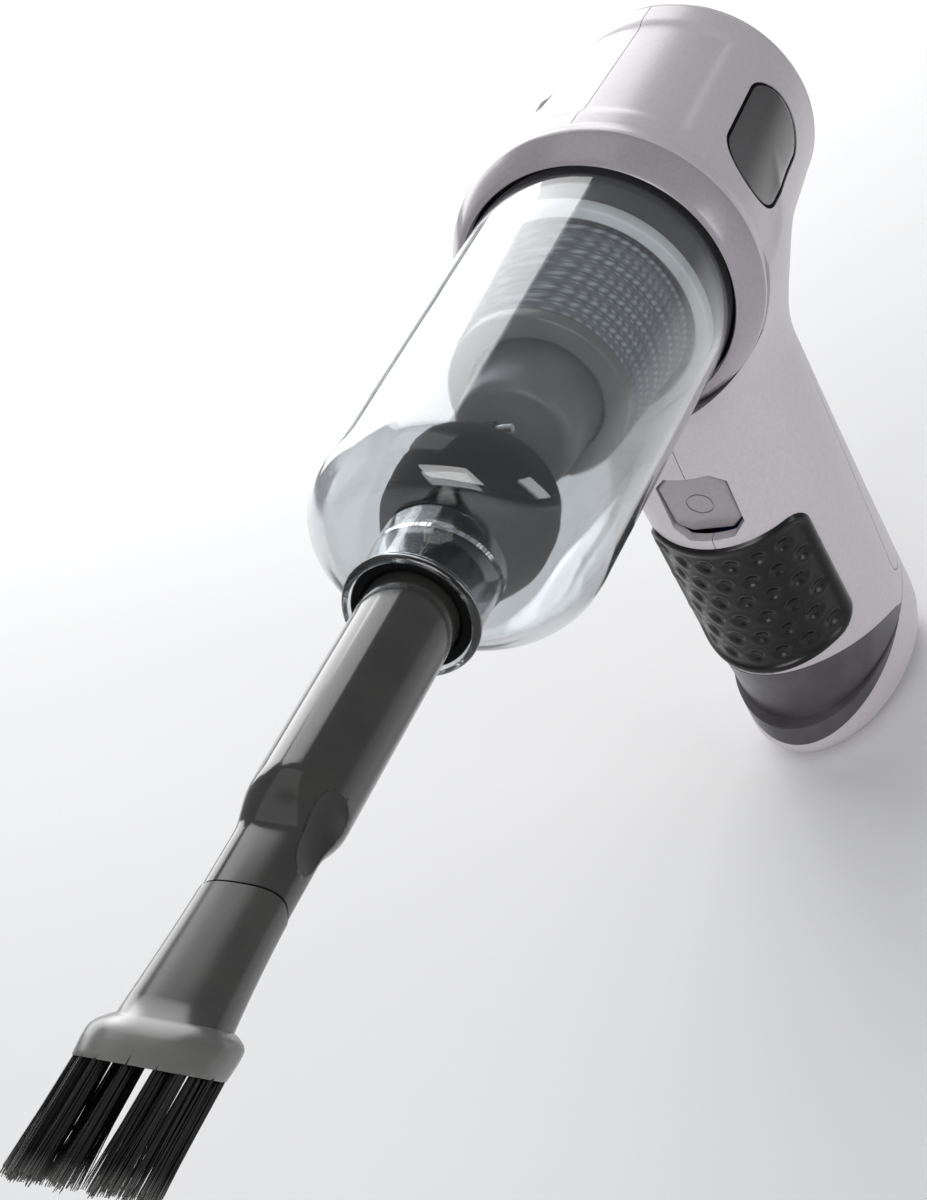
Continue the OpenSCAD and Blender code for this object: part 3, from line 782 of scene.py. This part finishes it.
def grip_pad():
    """The black pad: a raised rim round a field of dimples."""
    bm = clipped_grid(PAD_OUTLINE, 0.42)
    flat = points_of(bm)
    middle = (PAD_S[0] + PAD_S[1]) / 2
    half_h, half_s = max(p[0] for p in PAD_OUTLINE), (PAD_S[1] - PAD_S[0]) / 2
    qa = np.maximum(np.abs(flat[:, 0]) - (half_h - PAD_ROUND), 0)
    qb = np.maximum(np.abs(flat[:, 1] - middle) - (half_s - PAD_ROUND), 0)
    edge = PAD_ROUND - np.hypot(qa, qb)
    edge = np.where((qa == 0) & (qb == 0), PAD_ROUND, edge)
    rim = step_between(0, 0.9, edge) * (1 - step_between(1.6, 2.8, edge))
    height = 0.05 + 0.75 * rim
    # six rows of dimples, every other row shifted, each with a slight lip
    rows, columns = 6, 6
    for i in range(rows):
        for j in range(columns):
            ca = (j - (columns - 1) / 2) * 6.1 + (1.5 if i % 2 else -1.5)
            cb = middle + (i - (rows - 1) / 2) * 5.4
            if abs(ca) > half_h - 4.5:
                continue
            away = np.hypot((flat[:, 0] - ca) / 2.3, (flat[:, 1] - cb) / 1.9)
            height -= 0.75 * (1 - step_between(0.25, 1.0, away)) - 0.14 * np.exp(-((away - 1.15) / 0.16) ** 2)
    across = np.array([pad_across(h) for h in flat[:, 0]])
    start = from_handle(np.full(len(flat), 45.0), across, flat[:, 1])
    inward = np.array(handle_axes().to_3x3() @ Vector((-1, 0, 0)))
    base = along_ray(body_field, start, inward)
    out = base - onto(lambda p: body_field(p) + 1.0, base, 3)
    out /= np.linalg.norm(out, axis=1)[:, None]
    move_to(bm, base + out * height[:, None])
    face_out(bm, -inward)
    obj = thicken(solid("pad", bm), 1.4)
    return hand_in(obj, "grip_pad_rubber", "housing", "pad_rubber", ["grip_pad"], sharp=55)


def finger_scoop():
    """A dark sheet in the scoop between the pad and the end cap: painted shade of the scoop's hollow."""
    reach, top = 94, 70.6
    foot, spread = SEAM - 0.1, 26
    arch = [(math.radians(a) * spread, foot - (foot - top) * math.cos(math.radians(a / reach * 90)) ** 0.8)
            for a in np.linspace(reach, -reach, 33)]
    bm = clipped_grid([(p, -q) for p, q in arch], 0.9)
    flat = points_of(bm)
    angle, s = flat[:, 0] / spread, -flat[:, 1]
    a, b = grip_half(s)
    guess = from_handle(a * np.cos(angle), b * np.sin(angle), s)
    move_to(bm, onto(lambda p: body_field(p) - 0.16, guess, 5))
    face_out(bm, handle_axes().to_3x3() @ Vector((1, 0, 0)))
    obj = thicken(solid("scoop", bm), 0.7)
    return hand_in(obj, "finger_scoop_painted_shade", "housing", "dark_plastic", look=SCOOP_SHADE_LOOK, sharp=45)


def power_button():
    """The pressed button in its recess, with a small ring on its face."""
    face = grip_half(BUTTON_S)[0] - 1.9
    depth = face - BUTTON_BACK
    outline = chamfered(*BUTTON_HALF, 3, (0, BUTTON_S))
    obj = soften(solid("button", front_bar(outline, face - depth, depth)), 0.9, 30, 4)
    ring = bmesh.new()
    lie = handle_axes() @ Matrix.Translation((face, 0, -BUTTON_S)) @ Matrix.Rotation(math.pi / 2, 4, "Y")
    points = [(2.7, -0.3), (3.1, -0.3), (3.1, 0.3), (2.7, 0.3)]
    verts = [ring.verts.new((r, 0, h)) for r, h in points]
    edges = [ring.edges.new((verts[i], verts[(i + 1) % 4])) for i in range(4)]
    bmesh.ops.spin(ring, geom=verts + edges, cent=(0, 0, 0), axis=(0, 0, 1), dvec=(0, 0, 0), angle=math.tau,
                   steps=48, use_merge=True)
    clean(ring)
    bmesh.ops.transform(ring, matrix=lie, verts=ring.verts)
    combine(obj, solid("ring", ring))
    # the button takes the collar's darker lacquer as painted shade of its recess, in place of the housing's pearl
    return hand_in(obj, "power_button_cap", "power_button", "housing_plastic", ["power_button"],
                   LOOKS["collar_plastic"], sharp=40)


def base_ring(k):
    """A ring of the end cap: k runs from the seam, 0, to the flat base, 1."""
    count = 96
    s = SEAM + SEAM_GAP + k * (GRIP_LEN - SEAM - SEAM_GAP)
    edge = max(0, (k - 0.45) / 0.55)
    inset = BASE_ROUND * (1 - math.sqrt(max(0, 1 - edge * edge)))
    a, b = grip_half(s)
    ring = []
    for i in range(count):
        t = math.tau * i / count
        x = (a - inset) * math.cos(t)
        ring.append(handle_axes() @ Vector((x, (b - inset) * math.sin(t), -s + k * math.tan(LEAN) * x)))
    return ring


def end_cap():
    """The foot of the handle, level below, with the slot of its charge socket at the back."""
    steps = [0, 0.015, 0.05, 0.15, 0.3, 0.45, 0.55, 0.65, 0.74, 0.82, 0.88, 0.93, 0.965, 0.985, 0.996, 1]
    rings = [base_ring(k) for k in steps]
    centre = sum(rings[0], Vector()) / len(rings[0])
    rings[0] = [centre + (p - centre) * 0.985 for p in rings[0]]
    bm = lofted(rings)
    # the painted scoop shade runs a little way down the front of the cap, above this sloping plane
    start = handle_axes() @ Vector((0, 0, -SEAM - SEAM_GAP))
    slope = (handle_axes().to_3x3() @ Vector((0.15, 0, 1))).normalized()
    bmesh.ops.bisect_plane(bm, geom=everything(bm), plane_co=start, plane_no=slope, dist=1e-4)
    obj = solid("cap", bm)
    slot = rounded(4.7, 1.8, 1.79)
    socket_z = (low("usb_socket", Z) + high("usb_socket", Z)) / 2
    place = Matrix.Translation((low("usb_socket", X) - 10, 0, socket_z)) @ ALONG_X
    combine(obj, solid("slot", prism(slot, place, 18.6)))
    obj = hand_in(obj, "end_cap_shell", "housing", "housing_plastic", ["end_cap"], sharp=32)
    obj.data.materials.append(SCOOP_SHADE_LOOK)
    for face in obj.data.polygons:
        centre = face.center / MM
        if (centre - start).dot(slope) > 0.01 and (handle_axes().inverted() @ centre).x > 0:
            face.material_index = 1
    return obj


def front_collar():
    """The ring round the cup: a dark dished face, its darkness partly painted shade, inside a light outer edge."""
    inner = CUP_R + 0.7
    outer = COLLAR_R
    x0, x1 = COLLAR_BACK, COLLAR_FRONT
    profile = [(inner, x0 - 5), (BARREL_R1 - 2.5, x0 - 5), (BARREL_R1 - 2.5, x0), (BARREL_R1, x0),
               (BARREL_R1 + 0.15, x0 + 1.2), (outer - 0.5, x0 + 3.4), (outer, x0 + 4.8), (outer, x0 + 5.8),
               (outer - 0.35, x0 + 6.9), (outer - 1.1, x0 + 8.2), (inner + 1.6, x1 - 1.3),
               (inner + 0.7, x1 - 0.25), (inner + 0.25, x1), (inner, x1 - 0.3)]
    obj = solid("collar", turned(profile, 128))
    obj = hand_in(obj, "front_collar_ring", "housing", "collar_plastic", ["front_collar"], sharp=50)
    obj.data.materials.append(LOOKS["housing_plastic"])
    # the outer edge and spigot take the housing's pearl, the dished face the darker lacquer, which partly paints
    # that face's shade
    for face in obj.data.polygons:
        if face.center.x < (x0 + 6.2) * MM:
            face.material_index = 1
    return obj


def rear_cap():
    """The back of the barrel: a rounded rim, a shallow dish and radial air slots."""
    r = BARREL_R0
    profile = [(0.01, 5.9), (9, 5.7), (16, 5.2), (20.6, 5.0), (21.2, 5.35), (22, 5.3), (23.6, 4.9),
               (25.4, 3.9), (26.8, 2.6), (27.5, 1.3), (r, 0.2), (r - 0.35, 0), (r - 2.6, 0), (r - 3, -3),
               (0.01, -3)]
    bm = turned(profile, 128, closed=False)
    taper = math.atan2(BARREL_RISE, COLLAR_BACK - BARREL_BACK)
    bmesh.ops.translate(bm, vec=(0, 0, -AXIS_Z), verts=bm.verts)
    place = (Matrix.Translation((BARREL_BACK - 0.15, 0, AXIS_Z + BARREL_RISE))
             @ Matrix.Rotation(taper, 4, "Y") @ Matrix.Rotation(math.pi, 4, "Z"))
    bmesh.ops.transform(bm, matrix=place, verts=bm.verts)
    obj = solid("rear", bm)
    slots = 12
    bars = []
    for i in range(slots):
        turn = Matrix.Rotation(math.tau * i / slots, 4, "X") @ Matrix.Translation((1.5, 0, 12.6))
        bars.append(prism(rounded(1.0, 5.2, 0.99, steps=5), place @ turn @ ALONG_X, 12))
    combine(obj, solid("slots", merged(bars)))
    return hand_in(obj, "rear_cap_cover", "housing", "housing_plastic", ["rear_cap"], sharp=40)


# ---------- cup, port and filter ----------

# the cup's front is part of a ball whose centre is above the barrel's axis
DOME_X = 108.3
DOME_R = 60
DOME_UP = 12.3
CUP_WALL = 2.0


def cup_field(p, inset):
    """Distance from the cup's skin: a tube and a dome that meet in a soft round."""
    soft = 8
    tube = np.hypot(p[:, 1], p[:, 2] - AXIS_Z) - (CUP_R - inset)
    dome = np.linalg.norm(p - np.array((DOME_X, 0, AXIS_Z + DOME_UP)), axis=1) - (DOME_R - inset)
    near = np.maximum(soft - np.abs(tube - dome), 0) / soft
    return np.maximum(tube, dome) + near ** 2 * soft / 4


def cup_ring(radius, inset, station=None, behind=0.0):
    """A ring of the cup: at a station, or else that far behind the dome."""
    count = 128
    turn = np.linspace(0, math.tau, count, endpoint=False)
    y, z = radius * np.cos(turn), radius * np.sin(turn)
    if station is not None:
        x = np.full(count, station)
    else:
        x = DOME_X + np.sqrt((DOME_R - inset) ** 2 - y * y - (z - DOME_UP) ** 2) - behind
    ring = np.stack([x, y, AXIS_Z + z], -1)
    return ring if station is not None else onto(lambda p: cup_field(p, inset), ring, 6)


def dust_cup():
    """The clear cup: a straight wall and a slanted domed front, softly rounded where they meet."""
    sides = []
    for inset in (0, CUP_WALL):
        radius = CUP_R - inset
        rings = [cup_ring(radius, inset, x) for x in (CUP_BACK, CUP_BACK + 0.3, CUP_BACK + 12, 90, 112, 130)]
        rings += [cup_ring(radius, inset, behind=b) for b in (16, 12, 9, 6.5, 4.5, 2.5, 1, 0)]
        reach = radius - PORT_R
        shares = (0.95, 0.88, 0.8, 0.7, 0.6, 0.48, 0.34, 0.2, 0.08, 0)
        rings += [cup_ring(PORT_R + reach * share, inset) for share in shares]
        sides.append(rings)
    bm = lofted([[Vector(p) for p in ring] for ring in sides[0] + sides[1][::-1]], closed=True)
    return hand_in(solid("cup", bm), "dust_cup_clear", "dust_cup", "clear_plastic", ["dust_cup"], sharp=50)


def port_sleeve():
    """The short clear tube that takes the nozzle, with a thick rolled lip."""
    bore, body, lip = 11.6, PORT_R, high("port_sleeve", Y)
    back, front = low("port_sleeve", X), PORT_FRONT
    profile = [(bore, back), (body, back), (body, front - 2.6)]
    profile += arc((body - 0.2, front - 1.2), lip - body + 0.2, -60, 90, 8)
    profile += [(bore + 0.2, front), (bore, front - 0.3)]
    obj = solid("sleeve", turned(profile))
    return hand_in(obj, "port_sleeve_clear", "dust_cup", "clear_plastic", ["port_sleeve"], sharp=50)


def socket_liner():
    """The black ring in the mouth of the port."""
    inner, outer = TUBE_R + 0.1, 11.5
    x0, x1 = low("socket_ring", X), high("socket_ring", X)
    profile = [(inner, x0), (outer, x0), (outer, x1 - 0.5), (outer - 0.5, x1), (inner + 0.7, x1)]
    profile += arc((inner + 0.7, x1 - 0.7), 0.7, 90, 180, 4)
    obj = solid("liner", turned(profile))
    return hand_in(obj, "socket_liner", "nozzle_socket", "black_rubber", ["socket_ring"], sharp=50)


def rubber_seal():
    """The black cord seal between the cup's rim and the collar."""
    x0, x1 = low("cup_seal", X), high("cup_seal", X)
    r1 = high("cup_seal", Y)
    half = (x1 - x0) / 2
    profile = arc((r1 - half, (x0 + x1) / 2), half, 0, 330, 11)
    obj = solid("seal", turned(profile))
    return hand_in(obj, "cup_rim_seal", "dust_cup", "black_rubber", ["cup_seal"], sharp=60)


def inlet_duct():
    """The black rubber mushroom that leads air into the cup."""
    back, front = 138, high("inlet_duct", X)
    profile = [(10, back + 0.3), (10.3, back), (13.2, back)] + [
        (13.5 + 3.5 * math.sin(math.radians(a)) ** 0.9 if a > 0 else 13.5, back + 0.3 + 5.2 * a / 90)
        for a in range(0, 91, 15)]
    profile += [(17, 144.6), (16.9, 146), (16.4, 148.4), (15.6, 150.8), (14.6, 153.4), (13.5, 155.8),
                (12.5, 157.9), (11.8, 159.6), (11.6, 160.6), (11.6, front), (10, front)]
    obj = solid("duct", turned(profile))
    bar = bmesh.new()
    bmesh.ops.create_cube(bar, size=1)
    bmesh.ops.scale(bar, vec=(3.6, 40, 4.4), verts=bar.verts)
    bmesh.ops.translate(bar, vec=(138.5, 0, AXIS_Z + 12.3), verts=bar.verts)
    combine(obj, solid("notch", bar))
    return hand_in(obj, "inlet_duct_rubber", "dust_cup", "black_rubber", ["inlet_duct"], sharp=40)


def filter_cage():
    """The filter's frame: a light flange with turned steps and a ribbed mesh cone."""
    x0, x1 = low("filter_cage", X), high("filter_cage", X)
    skirt = [(18, x0), (25.4, x0), (25.4, x0 + 2.5), (25.0, x0 + 3), (25.0, x0 + 15), (24.2, x0 + 15),
             (24.2, x0 + 3), (18, x0 + 2.5)]
    hand_in(solid("skirt", turned(skirt)), "filter_skirt", "filter", "dark_plastic", ["filter_cage"],
            sharp=40)
    rim = [(23.0, x0 + 15.1)] + arc((24.9, x0 + 15.6), 0.5, -90, 0, 3)
    rim += arc((24.9, x0 + 18.2), 0.5, 0, 90, 3) + [(23.0, x0 + 18.7)]
    hand_in(solid("rim", turned(rim)), "filter_white_rim", "filter", "white_plastic", look=HAZE_LOOK,
            sharp=40)
    points = []
    ribs = 16
    wide, narrow = 22.6, 18.4
    for i in range(ribs):
        a = x0 + 4.2 + (x1 - 3 - x0 - 4.2) * i / ribs
        b = x0 + 4.2 + (x1 - 3 - x0 - 4.2) * (i + 1) / ribs
        outer = wide - (wide - narrow) * (a - x0) / (x1 - x0)
        points += [(outer, a), (outer, a + (b - a) * 0.3), (outer - 0.55, a + (b - a) * 0.42),
                   (outer - 0.55, b - (b - a) * 0.12)]
    points += [(17.4, x1 - 3), (17.4, x1 - 1.4), (17, x1 - 1.4), (20.6, x0 + 4.2)]
    hand_in(solid("cone", turned(points)), "filter_mesh_cone", "filter", "grey_plastic", look=MESH_LOOK,
            sharp=30)
    front = [(17.5, x1 - 3), (18.3, x1 - 3)] + arc((17.8, x1 - 0.5), 0.5, 0, 90, 3)
    front += [(13.8, x1), (13.8, x1 - 1.3), (17.5, x1 - 1.3)]
    hand_in(solid("front", turned(front)), "filter_front_ring", "filter", "grey_plastic", sharp=40)


def pleated_filter():
    """Folded paper inside the cage."""
    x0, x1 = low("pleated_filter", X), high("pleated_filter", X)
    folds = 48

    def ring(station, crest, valley):
        points = []
        for i in range(2 * folds):
            r, turn = crest if i % 2 else valley, math.pi * i / folds
            points.append(Vector((station, r * math.cos(turn), AXIS_Z + r * math.sin(turn))))
        return points

    rings = [ring(x0, 17.3, 11.5), ring((x0 + x1) / 2, 16.4, 11.2), ring(x1, 15.2, 11)]
    obj = solid("pleats", lofted(rings))
    return hand_in(obj, "pleated_paper", "filter", "filter_paper", ["pleated_filter"], sharp=20)


def filter_cap():
    """The dark knob that closes the filter, with a finger dish."""
    x0, x1 = low("filter_cap", X), high("filter_cap", X)
    r0 = high("filter_cap", Y)
    profile = [(0.01, x0), (r0 - 0.3, x0), (r0, x0 + 0.4), (r0 - 0.2, x0 + 3), (r0 - 0.9, x0 + 3.6),
               (r0 - 0.9, x0 + 4.4), (r0 - 0.5, x0 + 5)]
    profile += arc((r0 - 3.6, x1 - 2.2), 2.2, 0, 90, 5) + [(8, x1 - 0.15), (5, x1 - 1.4), (0.01, x1 - 1.9)]
    obj = solid("knob", turned(profile, closed=False))
    return hand_in(obj, "filter_end_cap", "filter", "dark_plastic", ["filter_cap"], KNOB_LOOK, sharp=45)


def impeller():
    """The white fan wheel: a hub and backward-curved blades on a disc."""
    x0, x1 = low("impeller", X), high("impeller", X)
    r1 = high("impeller", Y)
    hub = [(1.55, x0), (r1, x0), (r1, x0 + 0.9), (7, x0 + 1.4), (4.4, x1 - 1.2), (3.9, x1 - 0.3), (3.4, x1),
           (1.55, x1)]
    parts = [turned(hub, 72)]
    blades, steps, root = 11, 10, 5
    for k in range(blades):
        outline = []
        for side in (0.0, 0.07):
            path = []
            for i in range(steps + 1):
                t = i / steps
                r = root + (r1 - 0.6 - root) * t
                turn = math.tau * k / blades + 0.9 * t + side * (1 - 0.4 * t)
                path.append((r * math.cos(turn), r * math.sin(turn)))
            outline.append(path)
        loop = outline[0] + outline[1][::-1]
        parts.append(prism(loop, Matrix.Translation((x0 + 0.5, 0, AXIS_Z)) @ ALONG_X, x1 - x0 - 2.2))
    obj = solid("fan", merged(parts))
    return hand_in(obj, "fan_wheel", "rotor", "white_plastic", ["impeller"], sharp=35)


# ---------- nozzle and brush ----------

ROLL = math.radians(-15)
NECK = (236, 247)  # where the round tube turns to a flat one
SLEEVE_X = 262
SPIGOT_END = 290
FLARE_X = 291
MOUTH_X = 302
DUCT = (7.6, 4.6)  # this and the next two: half width, half height
SPIGOT = (6.3, 3.4)
MOUTH = (11.8, 7.2)
TUBE_WALL = 1.3
BRISTLE_LEN = 26.8
THUMB_X = 246.5
THUMB_SIZE = (11, 4.5, 8.5)


def nozzle_axes():
    return Matrix.Translation((0, 0, AXIS_Z)) @ Matrix.Rotation(ROLL, 4, "X")


def squared_oval(t, k, r, a, b):
    """A point of an outline that goes from a circle of r, at k = 0, to a squared oval, at k = 1."""
    power = 1 - 0.3 * k
    c, s = math.cos(t), math.sin(t)
    return ((r * (1 - k) + a * k) * math.copysign(abs(c) ** power, c),
            (r * (1 - k) + b * k) * math.copysign(abs(s) ** power, s))


def oval_ring(x, k, r, a, b, slant=0.0):
    """A ring of the nozzle at station x; slant tips it forward at the top."""
    count = 96
    ring = []
    for i in range(count):
        p, q = squared_oval(math.tau * i / count, k, r, a, b)
        ring.append(nozzle_axes() @ Vector((x + slant * q, p, q)))
    return ring


def nozzle_tube():
    """The nozzle: a round tube that flattens at its neck, with a thumb rest and a flat channel on top."""
    rings, inner = [], []
    for x in (TUBE_BACK, TUBE_BACK + 0.5, 190, 210, 228):
        shrink = 0.45 if x == TUBE_BACK else 0
        rings.append(oval_ring(x, 0, TUBE_R - shrink, *DUCT))
        inner.append(oval_ring(x, 0, TUBE_R - TUBE_WALL, *DUCT))
    steps = 22
    for i in range(steps + 1):
        x = NECK[0] - 2 + (SLEEVE_X - 0.4 - NECK[0] + 2) * i / steps
        k = float(step_between(NECK[0], NECK[1], x))
        rings.append(oval_ring(x, k, TUBE_R, *DUCT))
        # the bore is tighter under the thumb rest
        tight = float(step_between(NECK[0] - 2, NECK[0] + 1, x) - step_between(NECK[1] + 8, SLEEVE_X - 1, x))
        inner.append(oval_ring(x, k, TUBE_R - TUBE_WALL - 3.84 * tight, DUCT[0] - TUBE_WALL - 2.4 * tight,
                               DUCT[1] - TUBE_WALL - 1.2 * tight))
    for x in (SLEEVE_X - 0.3, SPIGOT_END):
        rings.append(oval_ring(x, 1, 0, *SPIGOT))
        inner.append(oval_ring(x, 1, 0, SPIGOT[0] - TUBE_WALL, SPIGOT[1] - TUBE_WALL))
    obj = solid("nozzle", lofted(rings + inner[::-1], closed=True))
    thumb = bmesh.new()
    bmesh.ops.create_icosphere(thumb, subdivisions=5, radius=1)
    around = math.radians(22)
    place = (nozzle_axes() @ Matrix.Rotation(around, 4, "X") @ Matrix.Translation((THUMB_X, TUBE_R + 1.4, 0))
             @ Matrix.Diagonal((*THUMB_SIZE, 1)))
    bmesh.ops.transform(thumb, matrix=place, verts=thumb.verts)
    combine(obj, solid("thumb", thumb))
    obj = hand_in(obj, "nozzle_tube_body", "nozzle", "grey_plastic", ["nozzle_tube"], NOZZLE_LOOK, sharp=35)
    # the thumb rest's cut faces take the black look as painted shade of the hollow
    obj.data.materials.append(THUMB_SHADE_LOOK)
    back = place.inverted()
    for face in obj.data.polygons:
        if (back @ (face.center / MM)).length < 1.02:
            face.material_index = 1
    return obj


def brush_head():
    """The brush head: a sleeve over the nozzle's spigot that flares to a slanted mouth."""
    base = (SPIGOT[0] + 1.5, SPIGOT[1] + 1.5)
    collar = (8.9, 5.5)
    grow = (MOUTH[0] - collar[0], MOUTH[1] - collar[1])
    outer = [oval_ring(SLEEVE_X, 1, 0, base[0] - 0.35, base[1] - 0.35),
             oval_ring(SLEEVE_X + 0.35, 1, 0, *base)]
    steps = 8
    for i in range(1, steps + 1):
        t = i / steps
        half = [b + (c - b) * t ** 1.5 for b, c in zip(base, collar)]
        outer.append(oval_ring(SLEEVE_X + (FLARE_X - SLEEVE_X) * t, 1, 0, *half, t * t))
    for x, share in ((0.7, 0.3), (1.5, 0.56), (2.4, 0.8), (3.4, 0.95), (4.6, 1), (7, 0.985), (9.5, 0.93),
                     (10.6, 0.9), (11, 0.86)):
        half = (collar[0] + grow[0] * share, collar[1] + grow[1] * share)
        outer.append(oval_ring(FLARE_X + x, 1, 0, *half, 1))
    inner = [oval_ring(MOUTH_X, 1, 0, 9.2, 5.3, 1), oval_ring(MOUTH_X - 3, 1, 0, 9.0, 5.0, 1),
             oval_ring(SPIGOT_END + 4, 1, 0, 7.2, 4.0, 1)]
    inner += [oval_ring(x, 1, 0, SPIGOT[0] + 0.3, SPIGOT[1] + 0.3) for x in (SPIGOT_END, SLEEVE_X)]
    obj = solid("head", lofted(outer + inner, closed=True))
    obj = hand_in(obj, "brush_head_body", "brush", "grey_plastic", ["brush_head"], sharp=35)
    obj.data.materials.append(SLEEVE_LOOK)
    for face in obj.data.polygons:
        tip = nozzle_axes().inverted() @ (face.center / MM)
        if tip.x - tip.z < FLARE_X:
            face.material_index = 1
    return obj


def bristles():
    """Tufts of black hairs set round the mouth; each hair is a thin tapered strip with a slight bend."""
    tufts, hairs = 18, 46
    radius = 0.13  # thicker than a real hair, so that it shows
    bm = bmesh.new()
    along = bm.verts.layers.float.new("along")
    for i in range(tufts):
        p, q = squared_oval(math.tau * (i + 0.5) / tufts, 1, 0, MOUTH[0] - 1.35, MOUTH[1] - 1.1)
        root = MOUTH_X + q - 1.2
        for _ in range(hairs):
            turn, out = random.uniform(0, math.tau), 1.0 * math.sqrt(random.random())
            dy, dz = out * math.cos(turn), out * math.sin(turn)
            spread = random.uniform(1.0, 1.9)
            drift = (random.uniform(-0.25, 0.25), random.uniform(-0.25, 0.25))
            length = BRISTLE_LEN + 1.2 - random.random() ** 2 * 0.9
            rings = []
            for t, width in ((0, 1), (0.5, 0.95), (1, 0.6)):
                made = bmesh.ops.create_circle(bm, segments=4, radius=radius * width)["verts"]
                fan = 1 + (spread - 1) * t * t
                for v in made:
                    v[along] = t
                    a, b = v.co.x, v.co.y
                    v.co = nozzle_axes() @ Vector((root + length * t, p + dy * fan + drift[0] * t * t + a,
                                                   q + dz * fan + drift[1] * t * t + b))
                rings.append(made)
            for lower, upper in zip(rings, rings[1:]):
                edges = [bm.edges.get((r[n], r[(n + 1) % 4])) for r in (lower, upper) for n in range(4)]
                bmesh.ops.bridge_loops(bm, edges=edges)
            bm.faces.new(rings[0])
            bm.faces.new(rings[-1])
    bmesh.ops.recalc_face_normals(bm, faces=bm.faces)
    return hand_in(solid("hairs", bm), "bristle_tufts", "brush", "bristle_fibre", ["bristles"], sharp=60)


# ---------- the parts that keep their CAD shape ----------

def dress_cad_nodes():
    """Gives each carried-over part the look of its record slot."""
    slots = {}
    for part in frame["record"]["subparts"]:
        slots[part["node"]] = part["material_slot"]
    for name, obj in frame["nodes"].items():
        obj.data.materials.clear()
        obj.data.materials.append(LOOKS[slots[name]])


# ---------- the room ----------

def pale_floor():
    bm = bmesh.new()
    bmesh.ops.create_grid(bm, x_segments=2, y_segments=2, size=3)
    obj = solid("floor", bm)
    # matt painted board
    mat, tree, shader = finish_of("matt white paint", "#f4f4f4", 0.9, IOR=1.45)
    place = grain(tree, shader, 3, 0.01, 0.1)
    tone(tree, shader, place, 400, linear("#f2f2f2"), linear("#f7f7f7"))
    obj.data.materials.append(mat)


def lamp(name, place, aim, width, height, power):
    """A soft box at place, in millimetres, that faces aim."""
    light = bpy.data.lights.new(name, "AREA")
    light.shape = "RECTANGLE"
    light.size, light.size_y = width * MM, height * MM
    light.energy = power
    obj = bpy.data.objects.new(name, light)
    obj.location = Vector(place) * MM
    obj.rotation_euler = (Vector(aim) - Vector(place)).to_track_quat("-Z", "Y").to_euler()
    bpy.context.scene.collection.objects.link(obj)


def studio():
    world = bpy.data.worlds.new("studio")
    bpy.context.scene.world = world
    world.use_nodes = True
    world.node_tree.nodes["Background"].inputs["Color"].default_value = linear("#e8e9ec")
    world.node_tree.nodes["Background"].inputs["Strength"].default_value = 0.42
    bpy.context.scene.view_settings.view_transform = "Standard"
    middle = (110, 0, 120)
    # the large soft box behind gives the cup and the nozzle their broad white band
    lamp("behind", (-600, -290, 500), middle, 420, 760, 2.7)
    lamp("behind_low", (-450, -540, 330), middle, 460, 460, 2.4)
    lamp("left_fill", (250, 800, 260), middle, 300, 300, 0.8)
    lamp("overhead", (100, -100, 1000), middle, 600, 600, 0.6)
    lamp("front", (950, 120, 420), middle, 500, 400, 3.4)


def camera():
    eye = Vector((683.54, 291.97, 453.52))
    aim = Vector((158.96, 0, 128.87))
    roll = math.radians(20.13)
    forward = (aim - eye).normalized()
    side = forward.cross(Vector((0, 0, 1))).normalized()
    over = side.cross(forward)
    up = over * math.cos(roll) + side * math.sin(roll)
    right = side * math.cos(roll) - over * math.sin(roll)
    turn = Matrix((right, up, -forward)).transposed()
    data = bpy.data.cameras.new("camera")
    data.lens = 111.87
    data.sensor_width = 36
    data.clip_start = 0.05
    obj = bpy.data.objects.new("camera", data)
    obj.matrix_world = Matrix.Translation(eye * MM) @ turn.to_4x4()
    bpy.context.scene.collection.objects.link(obj)
    bpy.context.scene.camera = obj


dress_cad_nodes()
SKIN = housing_skin()
for half_side in (1, -1):
    housing_half(SKIN, half_side)
    side_window(half_side)
battery_cover(SKIN)
SKIN.free()
grip_pad()
finger_scoop()
power_button()
end_cap()
front_collar()
rear_cap()
dust_cup()
port_sleeve()
socket_liner()
rubber_seal()
inlet_duct()
filter_cage()
pleated_filter()
filter_cap()
impeller()
nozzle_tube()
brush_head()
bristles()
pale_floor()
studio()
camera()
